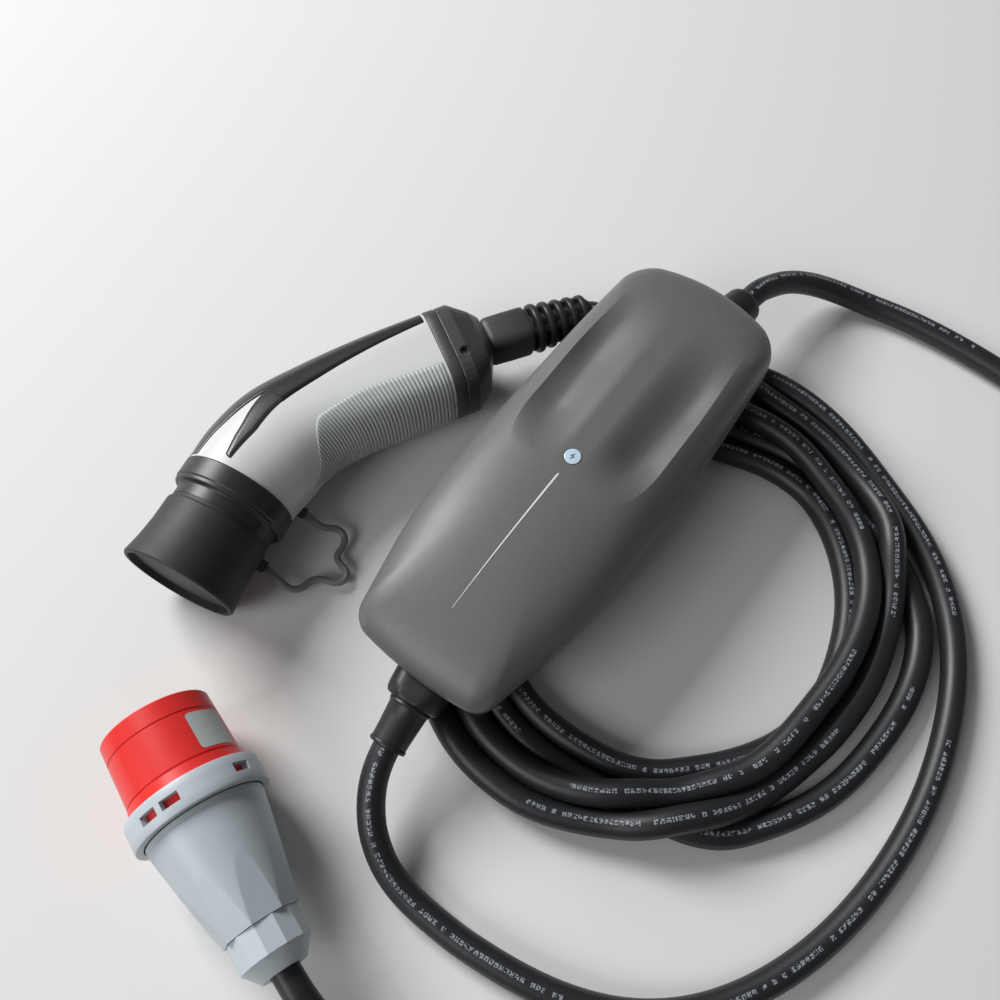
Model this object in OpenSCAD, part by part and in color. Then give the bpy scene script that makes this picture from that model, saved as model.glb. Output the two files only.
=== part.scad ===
// Portable electric car charger lying on the ground.
// A control box sits in the middle of the cable, on top of the coiled vehicle cable.
// One end carries a vehicle connector with a pull-off dust cap, the other a five pole mains plug.
// Millimetres. +Z is up and the ground is z = 0. +Y runs along the control box to its supply end.

/* [Control box] */
// Length over both bowed ends
box_length = 271; // [225:1:330]
// Width over the cover
box_width = 108; // [92:1:130]
// Height of the cover's crown over the underside
box_height = 54; // [48:1:66]
// Wall of the cover and of the lower housing
box_wall = 2.6; // [2:0.1:3.4]
// Depth of the two scooped channels in the cover
channel_depth = 5; // [0:0.5:7]
// Diameter of the round indicator
indicator_d = 8.8; // [6:0.2:14]
// Length of the light bar along the centre line
light_bar_length = 86; // [50:1:110]

/* [Vehicle connector] */
// Diameter of the collar behind the nose
collar_d = 65; // [58:0.5:72]
// Outer diameter of the nose under the dust cap
nose_d = 54; // [50:0.5:56]
// Length of the dust cap
cap_length = 37; // [34:1:44]
// Thickness of the grip, top to bottom as it lies
grip_thickness = 48; // [42:1:56]
// Wall of the handle covers
handle_wall = 2.6; // [2:0.1:3.5]
// Bore of a power contact
power_bore_d = 6; // [5:0.1:6.4]
// Bore of a signal contact
signal_bore_d = 3; // [2.4:0.1:3.4]

/* [Mains plug] */
// Diameter of the red sleeve
sleeve_d = 57; // [53:0.5:60]
// Diameter of the locking ring
ring_d = 67; // [64:0.5:74]
// Diameter of the four line pins
plug_pin_d = 5; // [4:0.1:6]
// Diameter of the earth pin
earth_pin_d = 6; // [5:0.1:7]
// Length of the grey housing behind the ring
plug_body_length = 60; // [50:1:75]

/* [Cables] */
// Outer diameter of both cables
cable_d = 14; // [11:0.5:15]

/* [Output] */
// Node to draw: all, or one name from the list

/* [Hidden] */
$fn = 64;
e = 0.02;

// The box rests on two layers of cable.
coil_top = 2 * cable_d;
base_z = coil_top + 0.3;
housing_h = 24;
gasket_h = 1.2;
rim_z = base_z + housing_h + gasket_h;
crown_h = box_height - housing_h - gasket_h;
box_x = 62.9;
box_y = 2;
sx = box_width / 108;
sy = box_length / 271;

// Outline of the cover in plan: drawn to the base size, then stretched to the length and width.
// Each side is an arc below y = -20 and a nearly straight one above it.
function side(y) = y < -20
    ? 54 - 370 + sqrt(370 * 370 - (y + 20) * (y + 20))
    : 54 - 1330 + sqrt(1330 * 1330 - (y + 20) * (y + 20));
function near_end(x) = -136 + 94 - sqrt(94 * 94 - min(x * x, 8600));
function far_end(x) = 135 - 100 + sqrt(100 * 100 - min(x * x, 9800));
function inside_by(x, y) = let (
        dx = side(max(-170, min(170, y))) - abs(x),
        dy = min(y - near_end(x), far_end(x) - y),
        k = y < 0 ? 8 : 13
    ) dx < k && dy < k ? k - norm([k - dx, k - dy]) : min(dx, dy);
function reach(c, s, inset, lo, hi, n) = n == 0 ? (lo + hi) / 2 : let (m = (lo + hi) / 2)
    inside_by(m * c, m * s) > inset ? reach(c, s, inset, m, hi, n - 1) : reach(c, s, inset, lo, m, n - 1);
function edge_at(c, s, inset) = reach(c, s, inset, 0, 160, 18);
// The rays are spread like those of an ellipse, so that the long sides aren't crowded.
rays = 96;
ray_dir = [for (i = [0:rays - 1]) let (a = 360 * i / rays, v = [54 * cos(a), 130 * sin(a)]) v / norm(v)];
function outline(inset) = [for (d = ray_dir) let (r = edge_at(d.x, d.y, inset)) [d.x * r * sx, d.y * r * sy]];

// Height of the cover's outer surface, from the shape of its crown less the scooped channels.
dome_p = 2.4;
// The crown is squarer towards the supply end.
function dome_at(c) = dome_p + 1.8 * pow(max(0, c), 4);
function smooth(t) = let (k = max(0, min(1, t))) k * k * (3 - 2 * k);
// The crease where each channel ends, and the channel's deepest line, seen along the box.
function crease_x(y) = y < 16 ? 25 + 12 * smooth((y + 12) / 28) : 37 - 4 * smooth((y - 16) / 80);
function valley_x(y) = 18 + 6 * smooth((y + 10) / 40) - 3 * smooth((y - 50) / 60);
function channel_along(y) = smooth((y + 16) / 46) * smooth((112 - y) / 62);
function channel_across(u, y) = u < valley_x(y)
    ? smooth(u / valley_x(y))
    : 1 - smooth((u - valley_x(y)) / (crease_x(y) - valley_x(y)));
function channel(x, y) = channel_depth * channel_along(y) * channel_across(abs(x), y);
function crown(t, h, p) = h * pow(max(0, 1 - pow(t, p)), 1 / p);
function cover_z(x, y) = let (px = x / sx, py = y / sy, r = max(0.01, norm([px, py])))
    rim_z + crown(r / edge_at(px / r, py / r, 0), crown_h, dome_at(py / r)) - channel(px, py);

// One sheet of the cover: rings from the rim to the middle, each a point list.
function sheet(inset, h, rings) = let (o = outline(inset)) [
    for (j = [0:rings - 1], k = [0:rays - 1]) let (
            p = dome_at(ray_dir[k].y), a = 90 * j / rings, t = pow(cos(a), 2 / dome_p), q = o[k] * t)
        [q.x, q.y, j == 0 ? 0 : crown(t, h, p) - channel(q.x / sx, q.y / sy)]
];

// Side faces between rings of n points, clockwise from outside.
function ring_faces(rows, n, first = 0) = [
    for (i = [0:rows - 2], k = [0:n - 1]) let (
        a = first + i * n + k, b = first + i * n + (k + 1) % n)
        each [[a, b, b + n], [a, b + n, a + n]]
];
function flipped(f) = [for (q = f) [q[0], q[2], q[1]]];

// A closed skin through rings of n points, with flat ends.
module skin(points, rows, n) {
    polyhedron(
        points = points,
        faces = concat(
            ring_faces(rows, n),
            [[for (k = [n - 1:-1:0]) k]],
            [[for (k = [0:n - 1]) (rows - 1) * n + k]]
        ),
        convexity = 6
    );
}

// A closed skin through rings that are an outer and an inner edge of m points each.
module wall_skin(points, rows, m) {
    n = 2 * m;
    last = (rows - 1) * n;
    polyhedron(
        points = points,
        faces = concat(
            ring_faces(rows, n),
            [for (k = [0:m - 2]) each [[k, n - 1 - k, n - 2 - k], [k, n - 2 - k, k + 1]]],
            [for (k = [0:m - 2]) each [
                [last + k, last + k + 1, last + n - 2 - k],
                [last + k, last + n - 2 - k, last + n - 1 - k]]]
        ),
        convexity = 6
    );
}

// Rings swept along a route. No leg of a route is upright.
function unit(v) = v / norm(v);
function route_dir(p) = [for (i = [0:len(p) - 1])
    i == 0 ? unit(p[1] - p[0])
    : i == len(p) - 1 ? unit(p[i] - p[i - 1])
    : unit(unit(p[i + 1] - p[i]) + unit(p[i] - p[i - 1]))];
function swept(p, r, n) = let (d = route_dir(p)) [
    for (i = [0:len(p) - 1]) let (s = unit(cross(d[i], [0, 0, 1])), u = cross(s, d[i]))
        for (k = [0:n - 1]) p[i] + r * (cos(360 * k / n) * s + sin(360 * k / n) * u)
];
module cable(route) {
    skin(swept(route, cable_d / 2, 12), len(route), 12);
}

// Moves its children so that +Z runs along d from p, with +Y as near upwards as it goes.
module along(p, d) {
    z = unit(d);
    x = unit(cross([0, 0, 1], z));
    y = cross(z, x);
    multmatrix([[x.x, y.x, z.x, p.x], [x.y, y.y, z.y, p.y], [x.z, y.z, z.z, p.z], [0, 0, 0, 1]]) children();
}
module rod(a, b, d) {
    along(a, b - a) cylinder(h = norm(b - a), d = d, $fn = 24);
}
module ring(r_out, r_in, h) {
    difference() {
        cylinder(h = h, r = r_out);
        translate([0, 0, -1]) cylinder(h = h + 2, r = r_in);
    }
}

// What lies round the box was laid out on the ground, then turned a little about the middle.
lay_turn = 1.1;
function laid(q) = [
    q.x * cos(lay_turn) - q.y * sin(lay_turn) - 1.6, q.x * sin(lay_turn) + q.y * cos(lay_turn) + box_y, q.z];
function laid_dir(q) = laid(q) - laid([0, 0, 0]);
function laid_all(list) = [for (q = list) laid(q)];
// Where the two cables leave the box. Both exits dip a little towards the ground.
cable_r = cable_d / 2;
out_p = [box_x + 1.5, box_y - 134 * sy, base_z + 11.9];
out_d = unit([4, -33, -6.6]);
sup_p = [box_x + 8, box_y + 133 * sy, base_z + 13];
sup_d = unit([4, 37, -2.4]);
boss_r = cable_r + 4.4;
neck_r = cable_r + 2.4;
flange_r = cable_r + 3.9;
cord_in = 26;
module at_box() { translate([box_x, box_y, 0]) children(); }
module at_outlet() { along(out_p, out_d) children(); }
module at_supply() { along(sup_p, sup_d) children(); }

// Six screws hold the cover down: x, y of each in the box.
screw_xy = [for (q = [[32, -100], [41.5, 5], [36, 103]], m = [-1, 1]) [m * q.x * sx, q.y * sy]];

module upper_cover() color("#5d5e5e") difference() {
    at_box() union() {
        cover_sheet();
        for (q = screw_xy) let (far = norm(q) + 4.5, u = q / norm(q), top = cover_z(u.x * far, u.y * far) - 1)
            translate([q.x, q.y, rim_z]) cylinder(h = top - rim_z, r = 4.5, $fn = 32);
    }
    at_box() {
        for (q = screw_xy) translate([q.x, q.y, rim_z - 1]) cylinder(h = 10, r = 1.6, $fn = 24);
        translate([0, indicator_y, rim_z]) cylinder(h = crown_h + 9, d = indicator_d + 0.2);
        translate([0, 0, rim_z]) linear_extrude(height = crown_h + 9) polygon(bar_plan(0.1));
    }
}

outer_rings = 16;
inner_rings = 9;
module cover_sheet() {
    out = sheet(0, crown_h, outer_rings);
    inn = sheet(box_wall, crown_h - box_wall, inner_rings);
    n0 = outer_rings * rays;
    n1 = n0 + inner_rings * rays;
    top = (outer_rings - 1) * rays;
    ceil = n0 + (inner_rings - 1) * rays;
    translate([0, 0, rim_z]) polyhedron(
        points = concat(out, inn, [[0, 0, crown_h], [0, 0, crown_h - box_wall]]),
        faces = concat(
            flipped(ring_faces(outer_rings, rays)),
            [for (k = [0:rays - 1]) [top + (k + 1) % rays, top + k, n1]],
            ring_faces(inner_rings, rays, n0),
            [for (k = [0:rays - 1]) [ceil + k, ceil + (k + 1) % rays, n1 + 1]],
            [for (k = [0:rays - 1]) let (m = (k + 1) % rays) each [
                [k, m, n0 + m], [k, n0 + m, n0 + k]]]
        ),
        convexity = 8
    );
}

// Indicator and light bar, both let into the cover.
indicator_y = -6.6 * sy;
bar_start = -18 * sy;
bar_end = bar_start - light_bar_length;
function bar_half(y) = 1.2 - 0.8 * (bar_start - y) / light_bar_length;
function bar_plan(gap) = [
    [bar_half(bar_start) + gap, bar_start + gap], [-bar_half(bar_start) - gap, bar_start + gap],
    [-bar_half(bar_end) - gap, bar_end - gap], [bar_half(bar_end) + gap, bar_end - gap]
];
module indicator_lens() color("#bcd4e6") at_box() translate([0, indicator_y, 0]) {
    under = rim_z + crown_h - box_wall;
    translate([0, 0, under - 1.8]) cylinder(h = 1.4, d = indicator_d + 4);
    translate([0, 0, under - 0.5]) cylinder(h = box_wall + 0.35, d = indicator_d);
}
bar_steps = 12;
module bar_rail(half, top, bottom) {
    pts = [for (i = [0:bar_steps]) let (y = bar_start + (bar_end - bar_start) * i / bar_steps, z = cover_z(0, y))
        each [[-half - bar_half(y), y, z - bottom], [half + bar_half(y), y, z - bottom],
            [half + bar_half(y), y, z - top], [-half - bar_half(y), y, z - top]]];
    skin([for (q = pts) [-q.x, q.y, q.z]], bar_steps + 1, 4);
}
module light_bar() color("#e8ebec") at_box() {
    bar_rail(0, -0.05, box_wall + 1.2);
    bar_rail(1.6, box_wall + 0.5, box_wall + 1.8);
}

module tray_block(inset, h) { linear_extrude(height = h) polygon(outline(inset)); }
// The lower housing: a tray with screw bosses, board posts and a boss round each cable.
module lower_housing() color("#1b1c1d") difference() {
    union() {
        at_box() difference() {
            translate([0, 0, base_z]) union() {
                tray_block(6, 2);
                translate([0, 0, 2]) tray_block(4, housing_h - 2);
            }
            translate([0, 0, base_z + box_wall]) tray_block(4 + box_wall, housing_h);
        }
        at_box() for (q = screw_xy) translate([q.x, q.y, base_z]) cylinder(h = housing_h + gasket_h - 0.1, r = 4.5, $fn = 32);
        at_box() for (q = post_xy) translate([q.x, q.y, base_z]) cylinder(h = board_z - base_z, r = 3.5, $fn = 32);
        at_outlet() translate([0, 0, -8]) cylinder(h = 12, r = boss_r);
        at_supply() translate([0, 0, -8]) cylinder(h = 12, r = boss_r);
        saddle(out_p, out_d);
        saddle(sup_p, sup_d);
    }
    at_box() for (q = screw_xy) translate([q.x, q.y, base_z - 1]) {
        cylinder(h = housing_h + 4, r = 1.6, $fn = 24);
        cylinder(h = 4, r = 3.3, $fn = 32);
    }
    at_box() for (q = post_xy) translate([q.x, q.y, base_z + box_wall]) cylinder(h = 20, r = 1.1, $fn = 24);
    at_outlet() exit_bore();
    at_supply() exit_bore();
    // The bosses are cut level with the tray, so that the gasket lies flat.
    for (p = [out_p, sup_p]) translate([p.x - 20, p.y - 7, rim_z - gasket_h]) cube([40, 14, 4]);
}
module exit_bore() {
    translate([0, 0, -12.5]) cylinder(h = 24, r = neck_r + 0.1);
    translate([0, 0, -30]) cylinder(h = 20, r = cable_r + 0.05);
}
// A block from the tray's floor to the middle of the cable, under the clamp.
module saddle(p, d) {
    c = p - 18 * d;
    translate([c.x, c.y, base_z]) linear_extrude(height = c.z - base_z - 2.4) square([30, 8], center = true);
}
module clamp_bar(p, d) {
    along(p - 18 * d, d) translate([0, 0, -4]) difference() {
        translate([-15, -0.6, 0]) cube([30, cable_r + 3.6, 8]);
        translate([0, 0, -1]) cylinder(h = 10, r = cable_r + 0.05);
    }
    along(p - 18 * d, d) for (m = [-1, 1]) translate([m * 12, 0, 0]) rotate([-90, 0, 0])
        translate([0, 0, cable_r + 3]) cylinder(h = 2.2, r = 2.6, $fn = 24);
}
module cable_clamps() color("#2f3032") {
    clamp_bar(out_p, out_d);
    clamp_bar(sup_p, sup_d);
}

module housing_gasket() color("#0f1011") at_box() difference() {
    translate([0, 0, rim_z - gasket_h]) difference() {
        tray_block(0.8, gasket_h);
        translate([0, 0, -1]) tray_block(4 + box_wall + 0.6, gasket_h + 2);
    }
    for (q = screw_xy) translate([q.x, q.y, rim_z - gasket_h - 1]) cylinder(h = gasket_h + 2, r = 4.6, $fn = 32);
}

module housing_screws() color("#a9acae") at_box() for (q = screw_xy) translate([q.x, q.y, base_z]) {
    difference() {
        translate([0, 0, 0.4]) cylinder(h = 2.6, r = 3, $fn = 32);
        translate([0, 0, -1]) cylinder(h = 3, r = 1.4, $fn = 6);
    }
    translate([0, 0, 2.9]) cylinder(h = housing_h + 5, r = 1.5, $fn = 24);
}

// Inside the box: the board and what it carries.
board_z = base_z + 9;
board_w = 68 * sx;
board_l = 176 * sy;
board_y = 2 * sy;
post_xy = [for (a = [-1, 1], b = [-1, 1]) [a * (board_w / 2 - 4), board_y + b * (board_l / 2 - 4)]];
module at_board(x, y) { at_box() translate([x, board_y + y, board_z + 1.6]) children(); }
module circuit_board() color("#1f5a3c") {
    difference() {
        at_box() translate([-board_w / 2, board_y - board_l / 2, board_z]) cube([board_w, board_l, 1.6]);
        at_box() for (q = post_xy) translate([q.x, q.y, board_z - 1]) cylinder(h = 4, r = 1.7, $fn = 24);
    }
    at_board(-14, -28) translate([0, 0, -e]) linear_extrude(height = 1.5) square([14, 14], center = true);
    at_board(10, -34) translate([0, 0, -e]) linear_extrude(height = 1.2) square([9, 6], center = true);
    at_board(-14, -48) translate([0, 0, -e]) linear_extrude(height = 6) square([18, 6], center = true);
}
module mains_relays() color("#23272b") for (x = [-16, 16]) at_board(x, 44 * sy) {
    linear_extrude(height = 20) square([26, 30], center = true);
    translate([0, 0, -1.6]) for (k = [-9, -3, 3, 9]) translate([k, 10, 0]) cylinder(h = 2, r = 0.6, $fn = 16);
}
module power_supply() color("#d9c24a") {
    at_board(-17, 4) {
        linear_extrude(height = 18) square([22, 24], center = true);
        translate([0, 0, 17.9]) linear_extrude(height = 2) square([16, 18], center = true);
    }
    for (y = [-8, 6]) at_board(18, y) cylinder(h = 18, r = 5.5, $fn = 32);
    at_board(18, 18) cylinder(h = 8, r = 3, $fn = 24);
}
module current_sensor() color("#2b2d6b") at_board(10, -54 * sy) translate([0, 0, 11]) rotate([90, 0, 0])
    translate([0, 0, -5]) ring(11, 5.2, 10);
block_w = 42;
function block_y(m) = board_y + m * (board_l / 2 - 14);
module terminal_block(m) {
    at_box() translate([0, block_y(m), board_z + 1.6]) difference() {
        linear_extrude(height = 14) square([block_w, 12], center = true);
        for (k = [-2:2]) {
            translate([k * 8, 0, 6]) rotate([90, 0, 0]) translate([0, 0, -10]) cylinder(h = 20, r = 2.1, $fn = 24);
            translate([k * 8, 0, 9]) cylinder(h = 6, r = 2.4, $fn = 24);
        }
    }
}
module terminal_blocks() color("#3b6f4b") {
    terminal_block(-1);
    terminal_block(1);
}
// Five cores run from each cable's cut end into the terminals, and pass the clamp under its bar.
module cores(p, d, m) {
    c = p - cord_in * d;
    x = unit(cross([0, 0, 1], d));
    for (k = [-2:2]) rod(
        c + x * 2.7 * k * (d.y > 0 ? -1 : 1),
        [box_x + 8 * k, box_y + block_y(m) + m * 1, board_z + 7.6],
        2.4
    );
}
module core_wires() color("#8a5a34") {
    cores(out_p, out_d, -1);
    cores(sup_p, sup_d, 1);
}

// Sleeve round the vehicle cable: flange inside the box, plain sleeve with a lip outside.
module outlet_strain_relief() color("#202123") at_outlet() rotate_extrude() polygon([
    [cable_r, -11.4], [flange_r, -11.4], [flange_r, -8.1], [neck_r, -8.1], [neck_r, 4.1],
    [cable_r + 4.4, 4.1], [cable_r + 4.4, 7], [cable_r + 3.9, 8], [cable_r + 3.7, 31],
    [cable_r + 4.2, 31.6], [cable_r + 4.2, 33.6], [cable_r + 3.6, 34.2], [cable_r, 34.2]
]);
// Short tapered gland round the supply cable.
module supply_strain_relief() color("#202123") at_supply() difference() {
    rotate_extrude() polygon([
        [cable_r, -11.4], [flange_r, -11.4], [flange_r, -8.1], [neck_r, -8.1], [neck_r, 4.1],
        [cable_r + 5.4, 4.1], [cable_r + 5.4, 9], [cable_r + 4.6, 10], [cable_r + 3.4, 36],
        [cable_r + 2.8, 37.4], [cable_r, 37.4]
    ]);
    for (k = [0:2]) translate([0, 0, 14 + 7 * k]) ring(cable_r + 8, cable_r + 3, 2.4);
}

// Vehicle connector. Its own axes: X in the plane of the handle towards the grip, Y to the rear, Z up.
axis_h = collar_d / 2;
conn_p = laid([-81, -110, axis_h]);
conn_turn = 10 + lay_turn;
module at_connector() { translate(conn_p) rotate([0, 0, conn_turn]) children(); }
// +Z runs forwards out of the nose, +X towards the grip, +Y up.
module at_nose() { at_connector() rotate([90, 0, 0]) children(); }
function conn_world(q) = conn_p + [
    q.x * cos(conn_turn) - q.y * sin(conn_turn), q.x * sin(conn_turn) + q.y * cos(conn_turn), q.z];

nose_r = nose_d / 2;
collar_r = collar_d / 2;
collar_front = 12.6;
cap_back = 22;
cap_front = cap_back + cap_length;
nose_front = cap_front - 8;
carrier_face = nose_front - 8;
carrier_back = 20;
power_xy = [[0, 0], [0, 15.5], [0, -15.5], [14, 8.6], [14, -8.6]];
signal_xy = [[-12.6, 8.2], [-12.6, -8.2]];
power_r = power_bore_d / 2;
signal_r = signal_bore_d / 2;
contact_wall = 1.1;

module contact_carrier() color("#141516") at_nose() difference() {
    union() {
        // Shroud round the contacts, flat on the side away from the grip.
        difference() {
            ring_from(collar_front - 22, nose_front, nose_r, nose_r - 2.6);
            translate([-nose_r - 20 + 3.2, -40, collar_front + 6]) cube([20, 80, 80]);
        }
        difference() {
            translate([0, 0, collar_front + 6]) cylinder(h = nose_front - collar_front - 6, r = nose_r - 1);
            translate([0, 0, collar_front + 5]) cylinder(h = 80, r = nose_r - 2.6);
            translate([-nose_r + 5.6, -40, collar_front + 5]) cube([80, 80, 80]);
        }
        translate([-nose_r + 3.2, -13, collar_front + 6]) cube([2.4, 26, nose_front - collar_front - 6]);
        translate([0, 0, carrier_back - 6]) cylinder(h = 6, r = nose_r - 1);
        for (q = power_xy) translate([q.x, q.y, carrier_back - 1])
            cylinder(h = carrier_face - carrier_back + 1, r = power_r + contact_wall + 1.5, $fn = 40);
        for (q = signal_xy) translate([q.x, q.y, carrier_back - 1])
            cylinder(h = carrier_face - carrier_back + 1, r = signal_r + contact_wall + 1.3, $fn = 32);
    }
    for (q = power_xy) translate([q.x, q.y, carrier_back - 20]) cylinder(h = 80, r = power_r + contact_wall, $fn = 40);
    for (q = signal_xy) translate([q.x, q.y, carrier_back - 20]) cylinder(h = 80, r = signal_r + contact_wall, $fn = 32);
}
module ring_from(z0, z1, r_out, r_in) { translate([0, 0, z0]) ring(r_out, r_in, z1 - z0); }
module contact(r, h) {
    translate([0, 0, -12]) cylinder(h = 12 + e, r = r + contact_wall - 0.2, $fn = 40);
    ring(r + contact_wall, r, h);
}
contact_depth = carrier_face - carrier_back - 1;
module power_contacts() color("#c8c4b4") at_nose() for (q = power_xy)
    translate([q.x, q.y, carrier_back]) contact(power_r, contact_depth);
module signal_contacts() color("#c8c4b4") at_nose() for (q = signal_xy)
    translate([q.x, q.y, carrier_back]) contact(signal_r, contact_depth);

// Collar with a stepped front edge.
module front_collar() color("#17181a") at_nose() rotate_extrude($fn = 96) polygon([
    [nose_r, -1], [collar_r - 0.8, -1], [collar_r, -0.2], [collar_r, 9.6], [collar_r - 0.7, 10.4],
    [collar_r - 0.7, collar_front - 0.6], [collar_r - 1.3, collar_front], [collar_r - 3.4, collar_front],
    [nose_r + 1.6, collar_front + 1], [nose_r + 1.4, cap_back - 2.4], [nose_r, cap_back - 2.4]
]);
module nose_seal() color("#3a3b3d") at_nose() rotate_extrude($fn = 96) polygon([
    [nose_r, cap_back - 2.3], [nose_r + 1.2, cap_back - 2.3], [nose_r + 1.2, cap_back - 0.1], [nose_r, cap_back - 0.1]
]);

// Rubber cap, flared at the front, pushed over the nose.
module dust_cap() color("#2a2b2d") at_nose() union() {
    rotate_extrude($fn = 96) polygon([
        [nose_r + 0.15, cap_back], [nose_r + 2.3, cap_back], [nose_r + 2.7, cap_back + 1],
        [nose_r + 2.7, cap_back + 14], [nose_r + 3.6, cap_back + 26], [nose_r + 4.8, cap_front - 3],
        [nose_r + 5.1, cap_front - 1], [nose_r + 4.4, cap_front], [nose_r + 2.6, cap_front],
        [nose_r + 2.2, cap_front - 3.4], [0, cap_front - 3.4], [0, cap_front - 6.4],
        [nose_r - 0.6, cap_front - 6.4], [nose_r + 0.15, cap_front - 7.2]
    ]);
    // Eye for the tether, low on the grip side.
    rotate([0, 0, cap_eye_a]) translate([nose_r + 1.6, -2.6, cap_back + 2]) cube([5.2, 5.2, 6]);
}
cap_eye_a = -32;
cap_eye = conn_world([(nose_r + 7.4) * cos(cap_eye_a), -cap_back - 5, (nose_r + 7.3) * sin(cap_eye_a)]);
clip_a = -27;
clip_p = conn_world([(collar_r + 3.4) * cos(clip_a), 9.6, (collar_r + 3.4) * sin(clip_a)]);
tether_r = 2;
tether_route = concat([clip_p], laid_all([
    [-39.4, -93.7, 11], [-34.6, -89.4, 8.5], [-28.5, -89.6, 6.5], [-25.4, -95, 5.5], [-25, -101, 5],
    [-20, -103.6, 5], [-14.2, -105, 5], [-12, -110, 5], [-16, -114.4, 5], [-22, -116.4, 5.5],
    [-26.4, -121, 6], [-27.2, -127.4, 7], [-31, -131.6, 8.5], [-37.5, -132, 11]
]), [cap_eye]);
module cap_tether() color("#55585a") skin(swept(tether_route, tether_r, 8), len(tether_route), 8);
module tether_clip() color("#26272a") at_connector() rotate([0, -clip_a, 0])
    translate([collar_r - 1.6, 9.6, 0]) {
        rotate([0, 90, 0]) cylinder(h = 5.4, r = 3.2, $fn = 32);
        translate([0, -5.4, -4]) cube([1.6, 10.8, 8]);
    }

// The handle follows stations: centre x, y, turn of the cut, half width, half height, squareness.
half_grip = grip_thickness / 2;
stations = [
    [0, 1, 0, collar_r - 0.7, collar_r - 0.7, 2],
    [1.4, 20, -3, 33.4, min(collar_r - 1.5, half_grip + 6), 2.1],
    [6.2, 43.6, -10, 32.2, half_grip + 4, 2.3],
    [20.6, 68.3, -21, 30, half_grip + 2, 2.7],
    [39.4, 93.8, -31, 28.8, half_grip + 0.8, 3.4],
    [59.7, 119.4, -41, 28, half_grip, 4]
];
last_station = len(stations) - 1;
function mixed(a, b, c, d, t) = 0.5 * (2 * b + (c - a) * t + (2 * a - 5 * b + 4 * c - d) * t * t
    + (3 * b - a - 3 * c + d) * t * t * t);
function station(s) = let (i = min(last_station - 1, max(0, floor(s))), t = s - i)
    mixed(i == 0 ? 2 * stations[0] - stations[1] : stations[i - 1], stations[i], stations[i + 1],
        i + 2 > last_station ? 2 * stations[last_station] - stations[i] : stations[i + 2], t);
function signed_pow(v, p) = sign(v) * pow(abs(v), p);
// A point of the handle's surface at station s and angle a, moved outwards by g.
function on_handle(s, a, g) = let (q = station(s), w = 2 / q[5])
    [
        q[0] + (q[3] + g) * signed_pow(cos(a), w) * cos(q[2]),
        q[1] + (q[3] + g) * signed_pow(cos(a), w) * sin(q[2]),
        (q[4] + g) * signed_pow(sin(a), w)
    ];
handle_rows = 21;
half_points = 17;
module handle_half() {
    wall_skin([for (i = [0:handle_rows - 1]) let (s = last_station * i / (handle_rows - 1)) each concat(
            [for (k = [0:half_points - 1]) on_handle(s, 180 * k / (half_points - 1), 0)],
            [for (k = [half_points - 1:-1:0]) on_handle(s, 180 * k / (half_points - 1), -handle_wall)]
        )], handle_rows, half_points);
}
module handle_cover_upper() color("#c9ccce") at_connector() handle_half();
module handle_cover_lower() color("#c9ccce") at_connector() mirror([0, 0, 1]) handle_half();

// Ribbed pad moulded over the grip side, its upper and lower edges rising towards the rear.
pad_ribs = 22;
pad_rows = 2 * pad_ribs + 1;
pad_points = 15;
pad_from = 1.35;
function pad_reach(s) = 44 + 12 * smooth((s - pad_from) / 1.2);
module grip_pad() color("#b4b8ba") at_connector() wall_skin([
    for (i = [0:pad_rows - 1]) let (
            s = pad_from + (last_station - 0.04 - pad_from) * i / (pad_rows - 1),
            g = i % 2 == 0 ? 0.25 : 0.95) each concat(
        [for (k = [0:pad_points - 1]) let (t = 2 * k / (pad_points - 1) - 1)
            on_handle(s, pad_reach(s) * t, abs(t) > 0.99 ? 0.1 : g)],
        [for (k = [pad_points - 1:-1:0]) let (t = 2 * k / (pad_points - 1) - 1)
            on_handle(s, pad_reach(s) * t, -0.4)]
    )], pad_rows, pad_points);

// Dark strip down the back of the handle, with a tongue forking off to each side at the bend.
strip_rows = 26;
function strip_reach(s) = 5 + 31 * smooth((s - 1.9) / 0.9) - 4 * smooth((s - 3) / 2);
module patch_of(rows, points) {
    wall_skin(points, rows, 7);
}
module back_strip() color("#1a1b1d") at_connector() {
    patch_of(strip_rows, [for (i = [0:strip_rows - 1]) let (s = 0.06 + (last_station - 0.1) * i / (strip_rows - 1))
        each concat(
            [for (k = [0:6]) on_handle(s, 180 + strip_reach(s) * (k - 3) / 3, abs(k - 3) == 3 ? 0.05 : 0.35)],
            [for (k = [6:-1:0]) on_handle(s, 180 + strip_reach(s) * (k - 3) / 3, -0.4)]
        )]);
    for (m = [0, 1]) mirror([0, 0, m]) patch_of(9, [for (i = [0:8]) let (
            t = i / 8, s = 1.02 + 1.5 * t, mid = 108 + 38 * pow(t, 1.2), half = 3.2 + 7 * t) each concat(
            [for (k = [0:6]) on_handle(s, mid + half * (k - 3) / 3, abs(k - 3) == 3 ? 0.05 : 0.4)],
            [for (k = [6:-1:0]) on_handle(s, mid + half * (k - 3) / 3, -0.4)]
        )]);
}

// Rear of the connector: a flange band and a cap bevelled down to the cable.
rear_q = stations[last_station];
rear_turn = rear_q[2];
rear_in = [cos(rear_turn), sin(rear_turn), 0];
rear_back = [-sin(rear_turn), cos(rear_turn), 0];
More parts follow.
